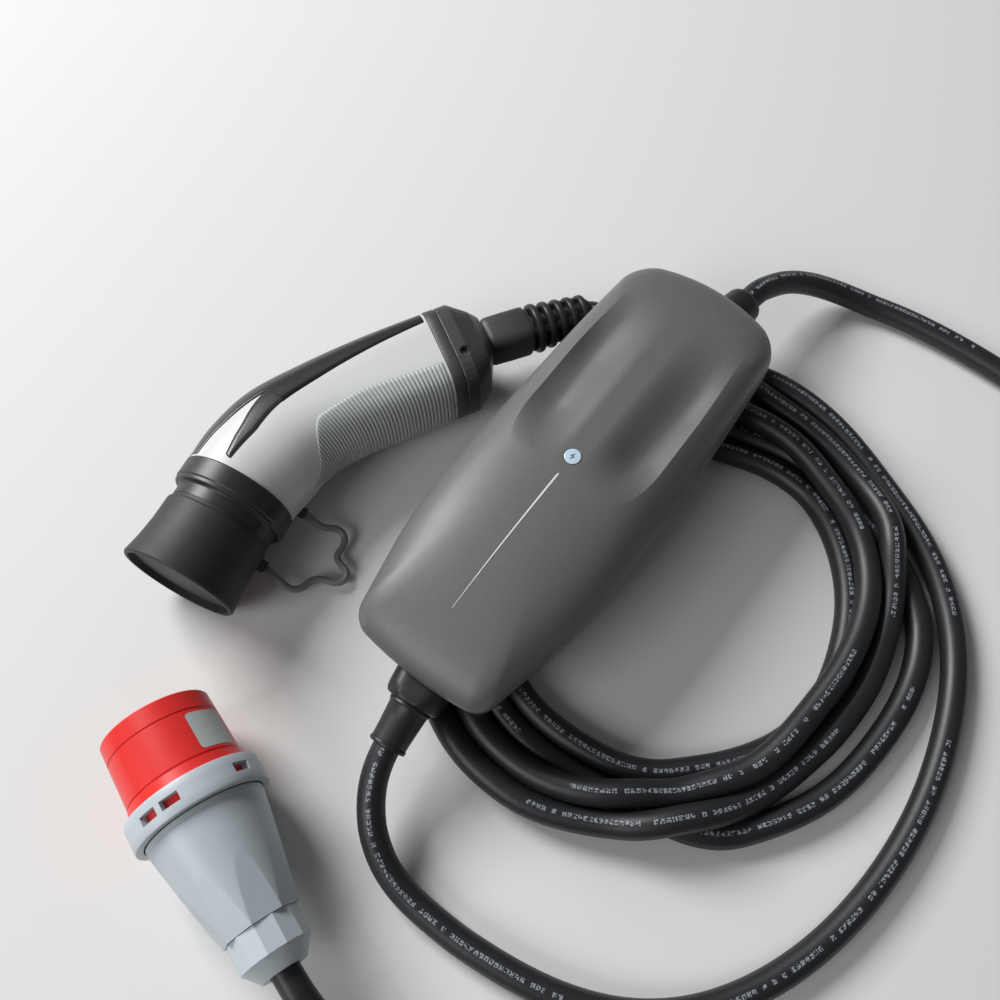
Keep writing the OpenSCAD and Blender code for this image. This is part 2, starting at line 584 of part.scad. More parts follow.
// x of the middle, distance behind the covers, half width, half height, squareness
function rear_ring(c, t, a, b, p) = [for (k = [0:31]) let (f = 360 * k / 32)
    [rear_q[0], rear_q[1], 0] + (c + a * signed_pow(cos(f), 2 / p)) * rear_in + t * rear_back
        + [0, 0, b * signed_pow(sin(f), 2 / p)]];
module rear_block(list) { skin([for (q = list) each rear_ring(q[0], q[1], q[2], q[3], q[4])], len(list), 32); }
module rear_flange() color("#2b2c2e") at_connector() difference() {
    rear_block([[0, 0.02, 28.3, half_grip + 0.3, 4], [0, 0.7, 28.8, half_grip + 0.8, 4],
        [0, 6.2, 28.8, half_grip + 0.8, 4], [0, 7, 28.3, half_grip + 0.3, 4]]);
    rear_block([[0, -1, 25, half_grip - 3, 4], [0, 8, 25, half_grip - 3, 4]]);
}
relief_q = [rear_q[0], rear_q[1], 0] - 5 * rear_in + 30 * rear_back;
relief_d = [-sin(rear_turn - 1) * cos(3), cos(rear_turn - 1) * cos(3), -sin(3)];
screw_q = [rear_q[0], rear_q[1], 0] + 10.5 * rear_in + 13 * rear_back;
module rear_cap() color("#1e1f21") at_connector() difference() {
    rear_block([[0, 7.02, 28.3, half_grip + 0.3, 4], [0, 7.8, 28.8, half_grip + 0.8, 4],
        [-0.4, 14.4, 28.4, half_grip + 0.6, 4.2], [-0.6, 24.6, 20.6, half_grip - 3.6, 4.2],
        [-5, 30, 14.4, 14.4, 3]]);
    rear_block([[0, 6, 25.4, half_grip - 2.8, 4], [-0.4, 13.8, 25, half_grip - 2.8, 4.2],
        [-0.8, 23, 17.5, half_grip - 7, 4.2], [-4, 26.4, 12, 12, 3]]);
    along(relief_q - 20 * relief_d, relief_d) cylinder(h = 40, r = cable_r + 3.6);
    for (m = [-1, 1]) translate([screw_q.x, screw_q.y, m * (half_grip - 3.4)]) cylinder(h = 12, r = 3.3, $fn = 32, center = true);
}
module rear_screws() color("#b5b8ba") at_connector() for (m = [0, 1]) mirror([0, 0, m])
    translate([screw_q.x, screw_q.y, half_grip - 6]) {
        difference() {
            cylinder(h = 2.4, r = 3.25, $fn = 32);
            translate([0, 0, 1.2]) cylinder(h = 3, r = 1.3, $fn = 6);
        }
        translate([0, 0, -4]) cylinder(h = 4.1, r = 1.5, $fn = 24);
    }
module connector_clamp() color("#55585b") at_connector() along(relief_q - 24 * relief_d, relief_d) {
    difference() {
        translate([-13, -cable_r - 3.5, -4]) cube([26, 2 * cable_r + 7, 8]);
        translate([0, 0, -5]) cylinder(h = 10, r = cable_r);
    }
    for (m = [-1, 1]) translate([m * 10.2, cable_r + 3.4, 0]) rotate([-90, 0, 0]) cylinder(h = 2, r = 2.4, $fn = 24);
}

// Rubber bend relief: neck, shoulder, then rings with windows between them.
relief_len = 67;
neck_len = 27;
rings_from = 33;
ring_pitch = 6.9;
module bend_relief() color("#1c1d1f") at_connector() along(relief_q, relief_d) difference() {
    union() {
        rotate_extrude() polygon([
            [cable_r, -4], [cable_r + 4.6, -4], [cable_r + 4.6, -0.6], [cable_r + 3.5, -0.6], [cable_r + 3.5, 0.4],
            [cable_r + 5.5, 1.4], [cable_r + 5.5, neck_len], [cable_r + 7.4, neck_len + 1],
            [cable_r + 7.4, rings_from - 1], [cable_r + 6.6, rings_from],
            [cable_r + 1.7, rings_from], [cable_r + 1.4, relief_len], [cable_r, relief_len]
        ]);
        for (k = [0:4]) translate([0, 0, rings_from + 2.6 + ring_pitch * k])
            ring(cable_r + 6.9 - 0.85 * k, cable_r, 3.9);
        for (a = [0:90:270]) rotate([0, 0, a + 45]) translate([cable_r + 0.4, -1.6, rings_from - 1])
            cube([2.2, 3.2, 5 * ring_pitch + 0.6]);
    }
    translate([0, 0, -20]) cylinder(h = 120, r = cable_r);
}

// Mains plug. +Z runs from the open end to the cable, +Y up.
plug_p = laid([-28.4, -226.7, ring_d / 2]);
plug_d = laid_dir([0.942, -0.335, 0]);
sleeve_len = 40;
ring_w = 9.5;
sleeve_r = sleeve_d / 2;
ring_r = ring_d / 2;
pin_base = sleeve_len;
body_end = sleeve_len + ring_w + plug_body_length;
body_rear_r = 19;
plug_pin_a = [for (k = [0:4]) 72 * k - 90];
pin_circle = sleeve_r - 11.5;
module at_plug() { along(plug_p, plug_d) children(); }
module plug_sleeve() color("#d9262b") at_plug() difference() {
    union() {
        rotate_extrude($fn = 96) polygon([
            [sleeve_r - 3.4, 0], [sleeve_r - 1.6, 0], [sleeve_r - 1.1, 0.6], [sleeve_r - 0.8, 9.4],
            [sleeve_r - 1.3, 9.8], [sleeve_r - 1.3, 10.4], [sleeve_r - 0.7, 10.8], [sleeve_r, sleeve_len - 7],
            [sleeve_r - 0.5, sleeve_len - 6.6], [sleeve_r - 0.5, sleeve_len - 6],
            [sleeve_r + 0.4, sleeve_len - 5.6], [sleeve_r + 1.2, sleeve_len + 0.4],
            [sleeve_r + 1.2, sleeve_len + ring_w], [sleeve_r - 3.4, sleeve_len + ring_w]
        ]);
        // Key that turns the socket the right way round.
        rotate([0, 0, -90]) translate([sleeve_r - 2.4, -4, 0.6]) cube([4.4, 8, sleeve_len - 2]);
    }
    rotate([0, 0, -90]) translate([sleeve_r - 6, -2.4, -1]) cube([5.6, 4.8, sleeve_len - 4]);
}
module plug_pin_carrier() color("#2a2b2c") at_plug() difference() {
    union() {
        translate([0, 0, pin_base]) cylinder(h = 8, r = sleeve_r - 3.5, $fn = 96);
        translate([0, 0, pin_base + 7.9]) cylinder(h = 10, r = sleeve_r - 5, $fn = 96);
    }
    for (k = [0:4]) rotate([0, 0, plug_pin_a[k]]) translate([pin_circle, 0, pin_base - 1])
        cylinder(h = 30, r = (k == 0 ? earth_pin_d : plug_pin_d) / 2 + 0.4, $fn = 40);
}
pin_front = 6;
module plug_pins() color("#c9c6b8") at_plug() for (k = [0:4]) let (r = (k == 0 ? earth_pin_d : plug_pin_d) / 2)
    rotate([0, 0, plug_pin_a[k]]) translate([pin_circle, 0, 0]) {
        translate([0, 0, pin_front]) cylinder(h = pin_base - pin_front + e, r = r, $fn = 40);
        translate([0, 0, pin_base]) cylinder(h = 20, r = r + 0.4, $fn = 40);
        translate([0, 0, pin_front - 1]) cylinder(h = 1 + e, r1 = r - 0.9, r2 = r, $fn = 40);
        translate([0, 0, pin_base + 17.9]) cylinder(h = 8, r = r + 1.2, $fn = 32);
    }
// Ring that locks the plug in its socket, with windows that show the red sleeve.
module plug_locking_ring() color("#c3ccd3") at_plug() difference() {
    rotate_extrude($fn = 96) polygon([
        [sleeve_r + 1.25, sleeve_len], [ring_r - 0.8, sleeve_len], [ring_r, sleeve_len + 0.8],
        [ring_r, sleeve_len + ring_w - 0.8], [ring_r - 0.8, sleeve_len + ring_w],
        [sleeve_r + 1.25, sleeve_len + ring_w]
    ]);
    for (a = [62, 78, 140, 158, 240, 300, 330, 15]) rotate([0, 0, a])
        translate([sleeve_r, -2.6, sleeve_len + 2.4]) cube([12, 5.2, 4]);
}
flats = 8;
module plug_housing() color("#bcc6ce") at_plug() difference() {
    union() {
        translate([0, 0, sleeve_len + ring_w + 0.2]) cylinder(h = 16, r1 = sleeve_r + 2.2, r2 = sleeve_r + 1.2, $fn = 96);
        // Tapered part with flats for a firm grip.
        intersection() {
            translate([0, 0, sleeve_len + ring_w + 15]) cylinder(h = body_end - sleeve_len - ring_w - 15,
                r1 = sleeve_r + 1.3, r2 = body_rear_r, $fn = 96);
            translate([0, 0, sleeve_len + ring_w + 14]) cylinder(h = 90, r1 = sleeve_r + 5, r2 = body_rear_r - 6, $fn = flats);
        }
    }
    translate([0, 0, sleeve_len + ring_w - 1]) cylinder(h = 22, r = sleeve_r - 2, $fn = 96);
    translate([0, 0, sleeve_len + ring_w + 20.9]) cylinder(h = body_end - sleeve_len - ring_w - 26,
        r1 = sleeve_r - 2.5, r2 = body_rear_r - 5.5, $fn = 64);
    translate([0, 0, body_end - 10]) cylinder(h = 20, r = cable_r + 3.5);
}
nut_len = 22;
module plug_gland_nut() color("#aab4bc") at_plug() difference() {
    union() {
        translate([0, 0, body_end + 0.2]) cylinder(h = 14, r = body_rear_r - 1.5, $fn = 12);
        translate([0, 0, body_end + 14]) cylinder(h = nut_len - 14, r1 = body_rear_r - 2, r2 = cable_r + 4);
    }
    translate([0, 0, body_end - 1]) cylinder(h = 12, r = cable_r + 3.6);
    translate([0, 0, body_end]) cylinder(h = 60, r = cable_r + 0.4);
}
module plug_gland_seal() color("#3c3d40") at_plug() translate([0, 0, body_end - 6]) ring(cable_r + 3.4, cable_r, 16.8);
plug_rear = plug_p + plug_d * (body_end + nut_len);

// Cables. The routes are points on the cables' centre lines, on or near the ground.
low = cable_r;
high = 3 * cable_r;
rest = low + 0.05;
outlet_route = concat(
    [out_p - cord_in * out_d, out_p, out_p + 34.3 * out_d],
    laid_all([
        [76, -179, base_z - 3], [84, -189, 17], [95, -197, 10.5], [112, -204, 7.6], [137, -211, rest],
        [166, -214, rest], [196, -211, rest], [226, -200, rest], [252, -180, rest], [273, -152, rest],
        [288, -118, rest], [296, -84, rest], [299, -50, rest], [298, -22, 7.2], [293, 6, 8.5],
        [284, 32, 12], [269, 56, 19], [248, 79, high], [226, 96, high], [204, 106, high]
    ])
);
relief_end = conn_world(relief_q + relief_len * relief_d);
connector_route = concat(
    [conn_world(relief_q - 30 * relief_d), conn_world(relief_q), relief_end],
    laid_all([[15, 112, 24], [28, 120.5, high], [45, 125, high], [70, 127, high], [96, 127, high], [122, 124.5, high]])
);
supply_route = concat(
    [sup_p - cord_in * sup_d, sup_p, sup_p + 37.5 * sup_d],
    laid_all([
        [80, 181, base_z + 5], [86, 193, 25], [95, 207, 16], [110, 219, 9.5], [136, 227, rest], [166, 231, rest],
        [197, 231, rest], [226, 229, rest], [256, 226, rest], [288, 215, rest], [318, 194, rest],
        [342, 159, rest], [359, 115, rest], [371, 66, rest], [381, 7, rest], [385, -52, rest],
        [377, -110, rest], [350, -164, rest], [310, -209, rest], [261, -245, 9], [207, -270, 14],
        [158, -281, 23], [126, -279, 31]
    ]),
    [plug_rear, plug_rear - 24 * plug_d]
);
module outlet_cable() color("#1d1e20") cable(outlet_route);
module connector_cable() color("#1d1e20") cable(connector_route);
module supply_cable() color("#1d1e20") cable(supply_route);

// The coil as one plain ring: its outer shape, two layers high.
coil_x = 134;
coil_out = 135;
coil_in = 84;
coil_y = [-18, 4];
module oval(r, h) {
    for (y = coil_y) translate([coil_x, y, 0]) cylinder(h = h, r = r, $fn = 96);
    translate([coil_x - r, coil_y[0], 0]) cube([2 * r, coil_y[1] - coil_y[0], h]);
}
module cable_coil() color("#1d1e20") difference() {
    oval(coil_out, coil_top);
    translate([0, 0, -1]) oval(coil_in, coil_top + 2);
}

upper_cover();
lower_housing();
housing_gasket();
indicator_lens();
light_bar();
circuit_board();
mains_relays();
power_supply();
current_sensor();
terminal_blocks();
core_wires();
cable_clamps();
housing_screws();
outlet_strain_relief();
supply_strain_relief();
dust_cap();
cap_tether();
tether_clip();
front_collar();
contact_carrier();
power_contacts();
signal_contacts();
nose_seal();
handle_cover_upper();
handle_cover_lower();
grip_pad();
back_strip();
rear_flange();
rear_cap();
rear_screws();
connector_clamp();
bend_relief();
plug_sleeve();
plug_pin_carrier();
plug_pins();
plug_locking_ring();
plug_housing();
plug_gland_nut();
plug_gland_seal();
outlet_cable();
cable_coil();
connector_cable();
supply_cable();
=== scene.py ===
import math

import bmesh
import bpy
import numpy as np
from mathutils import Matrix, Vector


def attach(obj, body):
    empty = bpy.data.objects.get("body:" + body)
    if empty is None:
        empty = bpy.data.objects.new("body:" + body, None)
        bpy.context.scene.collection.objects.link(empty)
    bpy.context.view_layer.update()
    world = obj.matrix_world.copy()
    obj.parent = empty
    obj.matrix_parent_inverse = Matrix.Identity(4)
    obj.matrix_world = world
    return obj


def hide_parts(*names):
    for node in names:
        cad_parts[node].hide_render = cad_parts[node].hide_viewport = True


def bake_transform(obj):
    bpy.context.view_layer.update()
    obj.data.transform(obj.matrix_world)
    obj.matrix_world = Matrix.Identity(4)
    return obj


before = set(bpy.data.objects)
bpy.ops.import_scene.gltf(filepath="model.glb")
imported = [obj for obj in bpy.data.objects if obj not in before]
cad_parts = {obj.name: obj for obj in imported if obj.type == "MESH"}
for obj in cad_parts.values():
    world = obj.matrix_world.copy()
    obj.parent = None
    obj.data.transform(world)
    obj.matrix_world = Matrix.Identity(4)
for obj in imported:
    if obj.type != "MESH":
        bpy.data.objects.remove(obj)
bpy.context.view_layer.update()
MM = 0.001
R = math.radians

# Layout of the control box, in mm: its middle, its underside, the cover's rim and the crown over it.
TURN = R(1.1)
SHIFT = (-1.6, 2.0)
BOX = (62.9, 2.0)
BASE_Z = 28.3
RIM_Z = BASE_Z + 25.2
CROWN_H = 28.8
WALL = 2.6
# The outline below is drawn 52 mm to a side at its widest; the box has 54.
WIDER = 54 / 52


def laid(x, y, z=0.0):
    """A point laid out on the ground, in mm, after the layout's small turn and shift."""
    c, s = math.cos(TURN), math.sin(TURN)
    return np.array([x * c - y * s + SHIFT[0], x * s + y * c + SHIFT[1], z])


def unit(v):
    v = np.asarray(v, float)
    return v / np.linalg.norm(v)


# Where the cables leave the box, where the connector starts, and the plug's sizes and place.
CABLE_R = 7.0
OUT_P = np.array([BOX[0] + 4.6, BOX[1] - 134, BASE_Z + 11.9])
OUT_D = unit([4, -33, -6.6])
SUP_P = np.array([BOX[0] + 8, BOX[1] + 133, BASE_Z + 13])
SUP_D = unit([4, 37, -2.4])
CONN_TURN = R(10) + TURN
CONN_P = laid(-81, -110, 32.5)
SLEEVE_R, RING_R, SLEEVE_LEN, RING_W, BODY_END = 28.5, 33.5, 40, 14, 109.5
PLUG_P = laid(-28.4, -226.7, RING_R)
PLUG_D = unit(laid(0.942, -0.335) - laid(0, 0))
PLUG_X = unit(np.cross([0, 0, 1], PLUG_D))
PLUG_Y = np.cross(PLUG_D, PLUG_X)
PLUG_END = 131.5
GRIP = 24.0


def conn(q):
    """Points given in the connector's axes, in mm, taken to the frame."""
    q = np.asarray(q, float)
    c, s = math.cos(CONN_TURN), math.sin(CONN_TURN)
    return CONN_P + np.stack([q[..., 0] * c - q[..., 1] * s, q[..., 0] * s + q[..., 1] * c, q[..., 2]], -1)


def on_plug(a, r, t):
    """A point at angle a round the plug, r from its middle line and t from its open end."""
    return PLUG_P + PLUG_D * t + r * (math.cos(a) * PLUG_X + math.sin(a) * PLUG_Y)


# Camera at the photo's angle.
scene = bpy.context.scene
scene.view_settings.view_transform = "Standard"
cam_data = bpy.data.cameras.new("camera")
cam = bpy.data.objects.new("camera", cam_data)
scene.collection.objects.link(cam)
scene.camera = cam
cam_data.lens = 35
cam_data.sensor_width = 36
cam_data.clip_start = 0.01
cam_data.clip_end = 20
cam.location = Vector((laid(165.5, -209.6, 510) + [2.2, 0.6, 0]) * MM)
cam.rotation_euler = (R(25), 0, R(37.45))


def math_node(tree, op, a, b=None):
    """One sum in a material: a and b are numbers or outputs."""
    n = tree.nodes.new("ShaderNodeMath")
    n.operation = op
    for i, v in enumerate((a, b)):
        if v is None:
            continue
        if isinstance(v, (int, float)):
            n.inputs[i].default_value = v
        else:
            tree.links.new(v, n.inputs[i])
    return n.outputs[0]


def material(
    name, color, rough=0.5, metallic=0.0, coat=0.0, bump=0.0, grain=900.0,
    mottle=0.0, speckle=0.0, wear=0.0, marks=False,
):
    """A plastic, rubber or metal with a fine grain, a slight mottle and, if asked, specks or printed marks."""
    m = bpy.data.materials.new(name)
    m.use_nodes = True
    tree = m.node_tree
    n, l = tree.nodes, tree.links
    b = n["Principled BSDF"]
    b.inputs["Base Color"].default_value = (*color, 1)
    b.inputs["Roughness"].default_value = rough
    b.inputs["Metallic"].default_value = metallic
    b.inputs["Coat Weight"].default_value = coat
    b.inputs["Coat Roughness"].default_value = 0.25
    pos = n.new("ShaderNodeTexCoord").outputs["Object"]

    def noise(scale, detail=4.0):
        t = n.new("ShaderNodeTexNoise")
        t.inputs["Scale"].default_value = scale
        t.inputs["Detail"].default_value = detail
        l.new(pos, t.inputs["Vector"])
        return t.outputs["Fac"]

    def mixed(fac, a, c):
        mix = n.new("ShaderNodeMix")
        mix.data_type = "RGBA"
        l.new(fac, mix.inputs["Factor"])
        for key, v in (("A", a), ("B", c)):
            if isinstance(v, tuple):
                mix.inputs[key].default_value = v
            else:
                l.new(v, mix.inputs[key])
        return mix.outputs["Result"]

    tone = None
    if mottle:
        lo = tuple(c * (1 - mottle) for c in color) + (1,)
        hi = tuple(min(1, c * (1 + mottle)) for c in color) + (1,)
        tone = mixed(noise(45, 6), lo, hi)
    if speckle:
        fine = noise(2600, 2)
        spots = math_node(tree, "MULTIPLY", math_node(tree, "SUBTRACT", fine, 0.5), 5.0)
        spots.node.use_clamp = True
        base = tone if tone else (*color, 1)
        tone = mixed(spots, base, tuple(min(1, c * (1 + speckle)) for c in color) + (1,))
    if marks:
        uv = n.new("ShaderNodeUVMap").outputs["UV"]
        sep = n.new("ShaderNodeSeparateXYZ")
        l.new(uv, sep.inputs[0])
        u, v = sep.outputs[0], sep.outputs[1]
        line = math_node(tree, "LESS_THAN", math_node(tree, "ABSOLUTE", math_node(tree, "SUBTRACT", v, 0.25)), 0.026)
        cell_u = math_node(tree, "FLOOR", math_node(tree, "MULTIPLY", u, 1500.0))
        cell_v = math_node(tree, "FLOOR", math_node(tree, "MULTIPLY", v, 96.0))
        cell = n.new("ShaderNodeCombineXYZ")
        l.new(cell_u, cell.inputs[0])
        l.new(cell_v, cell.inputs[1])
        dots = n.new("ShaderNodeTexWhiteNoise")
        dots.noise_dimensions = "2D"
        l.new(cell.outputs[0], dots.inputs["Vector"])
        ink = math_node(tree, "GREATER_THAN", dots.outputs["Value"], 0.42)
        step = math_node(tree, "LESS_THAN", math_node(tree, "FRACT", math_node(tree, "MULTIPLY", u, 375.0)), 0.76)
        word = n.new("ShaderNodeTexWhiteNoise")
        word.noise_dimensions = "1D"
        l.new(math_node(tree, "FLOOR", math_node(tree, "MULTIPLY", u, 375.0)), word.inputs["W"])
        letters = math_node(tree, "GREATER_THAN", word.outputs["Value"], 0.16)
        block = math_node(tree, "LESS_THAN", math_node(tree, "FRACT", math_node(tree, "MULTIPLY", u, 4.1)), 0.72)
        fac = line
        for part in (ink, step, letters, block):
            fac = math_node(tree, "MULTIPLY", fac, part)
        fac = math_node(tree, "MULTIPLY", fac, 0.75)
        tone = mixed(fac, tone if tone else (*color, 1), (0.33, 0.36, 0.40, 1))
    if tone:
        l.new(tone, b.inputs["Base Color"])
    if wear:
        spread = n.new("ShaderNodeMapRange")
        spread.inputs["To Min"].default_value = rough - wear
        spread.inputs["To Max"].default_value = rough + wear
        l.new(noise(28, 5), spread.inputs["Value"])
        l.new(spread.outputs["Result"], b.inputs["Roughness"])
    if bump:
        bp = n.new("ShaderNodeBump")
        bp.inputs["Strength"].default_value = bump
        bp.inputs["Distance"].default_value = 0.0002
        l.new(noise(grain, 3), bp.inputs["Height"])
        l.new(bp.outputs["Normal"], b.inputs["Normal"])
    return m


M = {
    "cover": material(
        "cover_plastic", (0.118, 0.1175, 0.115), 0.44, bump=0.22, grain=1800, mottle=0.04, speckle=0.35, wear=0.03
    ),
    "black": material("black_plastic", (0.012, 0.0125, 0.013), 0.42, bump=0.2, mottle=0.1, wear=0.05),
    "gasket": material("gasket_black", (0.004, 0.004, 0.004), 0.7, bump=0.1),
    "lip": material("housing_lip", (0.03, 0.03, 0.031), 0.4, bump=0.15, mottle=0.08),
    "collar": material("collar_black", (0.021, 0.021, 0.023), 0.40, bump=0.1, mottle=0.06, wear=0.04),
    "strip": material("strip_black", (0.020, 0.020, 0.0215), 0.28, bump=0.08, mottle=0.05, wear=0.04),
    "rear": material("rear_black", (0.046, 0.046, 0.048), 0.42, bump=0.15, mottle=0.06, wear=0.04),
    "rubber": material(
        "cable_rubber", (0.014, 0.0145, 0.017), 0.44, bump=0.3, grain=420, mottle=0.15, wear=0.06, marks=True
    ),
    "boot": material("boot_rubber", (0.014, 0.0145, 0.016), 0.42, bump=0.25, grain=600, mottle=0.12, wear=0.06),
    "neck": material("neck_rubber", (0.040, 0.040, 0.042), 0.48, bump=0.25, grain=600, mottle=0.12, wear=0.06),
    "cap": material("cap_rubber", (0.021, 0.0205, 0.022), 0.58, bump=0.35, grain=900, mottle=0.12, wear=0.06),
    "grey": material("cover_light", (0.60, 0.61, 0.62), 0.36, bump=0.08, mottle=0.015, wear=0.03),
    # The pad's grey is darker and a little greener than the shells' grey: painted shade, and a painted green
    # reflection.
    "pad": material("pad_grey_painted_shade", (0.40, 0.42, 0.42), 0.42, bump=0.08, mottle=0.02, wear=0.04),
    "red": material("plug_red", (0.74, 0.030, 0.026), 0.33, bump=0.08, mottle=0.03, wear=0.05),
    "pale": material("plug_grey", (0.47, 0.53, 0.57), 0.40, bump=0.1, mottle=0.02, wear=0.04),
    "label": material("label_blank", (0.46, 0.50, 0.50), 0.45, mottle=0.04),
    "tether": material("tether_rubber", (0.16, 0.165, 0.17), 0.38, bump=0.1, mottle=0.1),
    "metal": material("plated", (0.75, 0.74, 0.70), 0.25, metallic=1.0, wear=0.08),
    "green": material("board_green", (0.02, 0.12, 0.06), 0.4, mottle=0.1),
    "blue": material("lens_blue", (0.52, 0.66, 0.78), 0.22, coat=0.5, mottle=0.03),
    "sign": material("bolt_sign", (0.10, 0.15, 0.21), 0.4, mottle=0.05),
    "white": material("bar_white", (0.62, 0.63, 0.62), 0.35, mottle=0.04),
    "inner": material("inner_dark", (0.03, 0.03, 0.035), 0.5, mottle=0.1),
}

# The material of each solid; the rest are black.
NODE_LOOK = {
    "upper_cover": "cover", "indicator_lens": "blue", "light_bar": "white", "circuit_board": "green",
    "housing_screws": "metal", "dust_cap": "cap", "cap_tether": "tether", "front_collar": "collar",
    "power_contacts": "metal", "signal_contacts": "metal", "handle_cover_upper": "grey",
    "handle_cover_lower": "grey", "grip_pad": "pad", "back_strip": "strip", "rear_flange": "rear",
    "rear_cap": "rear", "rear_screws": "metal", "bend_relief": "boot", "outlet_strain_relief": "boot",
    "supply_strain_relief": "boot", "tether_clip": "boot", "nose_seal": "cap", "housing_gasket": "gasket",
    "plug_sleeve": "red", "plug_pins": "metal", "plug_locking_ring": "pale", "plug_housing": "pale",
    "plug_gland_nut": "pale", "mains_relays": "inner", "power_supply": "inner",
}
for name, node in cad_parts.items():
    node.data.materials.clear()
    node.data.materials.append(M[NODE_LOOK.get(name, "black")])


def mesh_object(name, verts, faces, mat, body="charger", smooth=True, ride=True):
    """A mesh from points in mm, its faces turned outwards, riding with a body."""
    me = bpy.data.meshes.new(name)
    me.from_pydata((np.asarray(verts, float) * MM).tolist(), [], [tuple(f) for f in faces])
    me.validate()
    bm = bmesh.new()
    bm.from_mesh(me)
    bmesh.ops.recalc_face_normals(bm, faces=bm.faces)
    bm.to_mesh(me)
    bm.free()
    me.materials.append(mat)
    o = bpy.data.objects.new(name, me)
    scene.collection.objects.link(o)
    if smooth:
        me.polygons.foreach_set("use_smooth", [True] * len(me.polygons))
    if ride:
        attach(o, body)
    return o


def grid_faces(rows, cols, wrap):
    """Four-sided faces between rows of points, closed round each row if wrap is set."""
    i, k = np.meshgrid(np.arange(rows - 1), np.arange(cols if wrap else cols - 1), indexing="ij")
    a, b = i * cols + k, i * cols + (k + 1) % cols
    return np.stack([a, b, b + cols, a + cols], -1).reshape(-1, 4).tolist()


def loft(name, rows, mat, wrap=True, caps=False, body="charger"):
    """A skin through rows of points."""
    rows = np.asarray(rows, float)
    n, m = rows.shape[:2]
    faces = grid_faces(n, m, wrap)
    if caps:
        faces += [list(range(m)), list(range((n - 1) * m, n * m))]
    return mesh_object(name, rows.reshape(-1, 3), faces, mat, body)


def thick(rows, depth_rows):
    """Rows of a patch closed underneath by a second set of points."""
    return np.concatenate([rows, depth_rows[:, ::-1]], axis=1)


def axes(d):
    """The two cross axes of a direction, as in the part."""
    x = unit(np.cross([0, 0, 1.0], d))
    return x, np.cross(d, x)


def revolve(name, p, d, profile, mat, sides=96, flat=0.0, floor_z=None, top_z=None):
    """A turned piece about direction d from p: rows of (radius, distance), squared off by flat."""
    x, y = axes(d)
    a = np.linspace(0, 2 * math.pi, sides, endpoint=False)
    k = 2 / (2 + 3 * flat)
    c, s = np.sign(np.cos(a)) * np.abs(np.cos(a)) ** k, np.sign(np.sin(a)) * np.abs(np.sin(a)) ** k
    rows = np.array([p + d * t + r * (c[:, None] * x + s[:, None] * y) for r, t in profile])
    if top_z is not None:
        rows[..., 2] = np.clip(rows[..., 2], floor_z, top_z)
    o = loft(name, rows, mat, wrap=True)
    split_edges(o, 35)
    return o


def closed_ring(profile):
    """A profile that ends where it starts."""
    return list(profile) + [profile[0]]


def split_edges(o, angle=32):
    """Keeps edges sharper than an angle in degrees from being shaded smooth."""
    mod = o.modifiers.new("edges", "EDGE_SPLIT")
    mod.split_angle = R(angle)


def smooth01(t):
    k = np.clip(t, 0, 1)
    return k * k * (3 - 2 * k)


# The cover's outline and crown on a fine mesh.
def side(y):
    """Half the outline's width at y, before it is widened."""
    y = np.clip(y, -170, 170)
    near = 52 - 270 + np.sqrt(np.maximum(270.0**2 - (y + 38) ** 2, 0))
    far = 52 - 1900 + np.sqrt(1900.0**2 - (y + 38) ** 2)
    return np.where(y > -38, far, np.where(y > -94, near, 46.1 + 0.21 * (y + 94)))


def inside_by(x, y):
    """How far a point lies inside the outline, its corners rounded."""
    dx = side(y) - np.abs(x)
    near = -136 + 195 - np.sqrt(195.0**2 - x * x)
    far = 35 + np.sqrt(10000.0 - np.minimum(x * x, 9800))
    dy = np.minimum(y - near, far - y)
    k = np.where(y < 0, 8.0, 13.0)
    return np.where((dx < k) & (dy < k), k - np.hypot(k - dx, k - dy), np.minimum(dx, dy))


RAYS = 560
ray = 2 * math.pi * np.arange(RAYS) / RAYS
ray_c, ray_s = 52 * np.cos(ray), 130 * np.sin(ray)
ray_n = np.hypot(ray_c, ray_s)
ray_c, ray_s = ray_c / ray_n, ray_s / ray_n


def edge_at(c, s, inset):
    """The distance along each ray at which the outline is an inset away."""
    lo, hi = np.zeros_like(c), np.full_like(c, 160.0)
    for _ in range(26):
        m = (lo + hi) / 2
        far = inside_by(m * c, m * s) > inset
        lo, hi = np.where(far, m, lo), np.where(far, hi, m)
    return (lo + hi) / 2


def crease_x(y):
    """The crease that ends each scoop on its outer side, curving in at the scoop's near end."""
    t = np.clip((14 - y) / 32, 0, 0.985)
    return 37.6 - 12 * (1 - np.sqrt(1 - t * t)) - 2.8 * smooth01((y - 45) / 70)


def channel(x, y, depth=7.4):
    """How deep the scoops lie under the crown."""
    x = np.abs(x)
    v = crease_x(y) - 12.5 + 2.5 * smooth01((y - 10) / 60)
    along = smooth01((y + 17) / 36) * smooth01((108 - y) / 62)
    out = np.maximum(0, 1 - np.clip((x - v) / (crease_x(y) - v), 0, 2) ** 1.7)
    return depth * along * np.where(x < v, smooth01((x - 5) / (v - 5)), out)


def crown(t, h, p):
    """The crown's height over the rim, t from its middle to its rim."""
    return h * np.maximum(0, 1 - t**p) ** (1 / p)


def dome_at(s):
    """How full the crown is; fuller towards the far end."""
    return 2.4 + 1.8 * np.maximum(0, s) ** 4


# The rim's distance along each ray, and the same smoothed over some 60 rays each way.
rim = edge_at(ray_c, ray_s, 0)
SPREAD = 60
weights = np.exp(-0.5 * (np.arange(-SPREAD, SPREAD + 1) / 20.0) ** 2)
near_rays = [np.take(rim, np.arange(k - SPREAD, k + SPREAD + 1), mode="wrap") for k in range(RAYS)]
rim_soft = np.array([(r * weights).sum() for r in near_rays]) / weights.sum()
rim_ratio = rim / rim_soft
ray_angle = np.unwrap(np.arctan2(ray_s, ray_c))


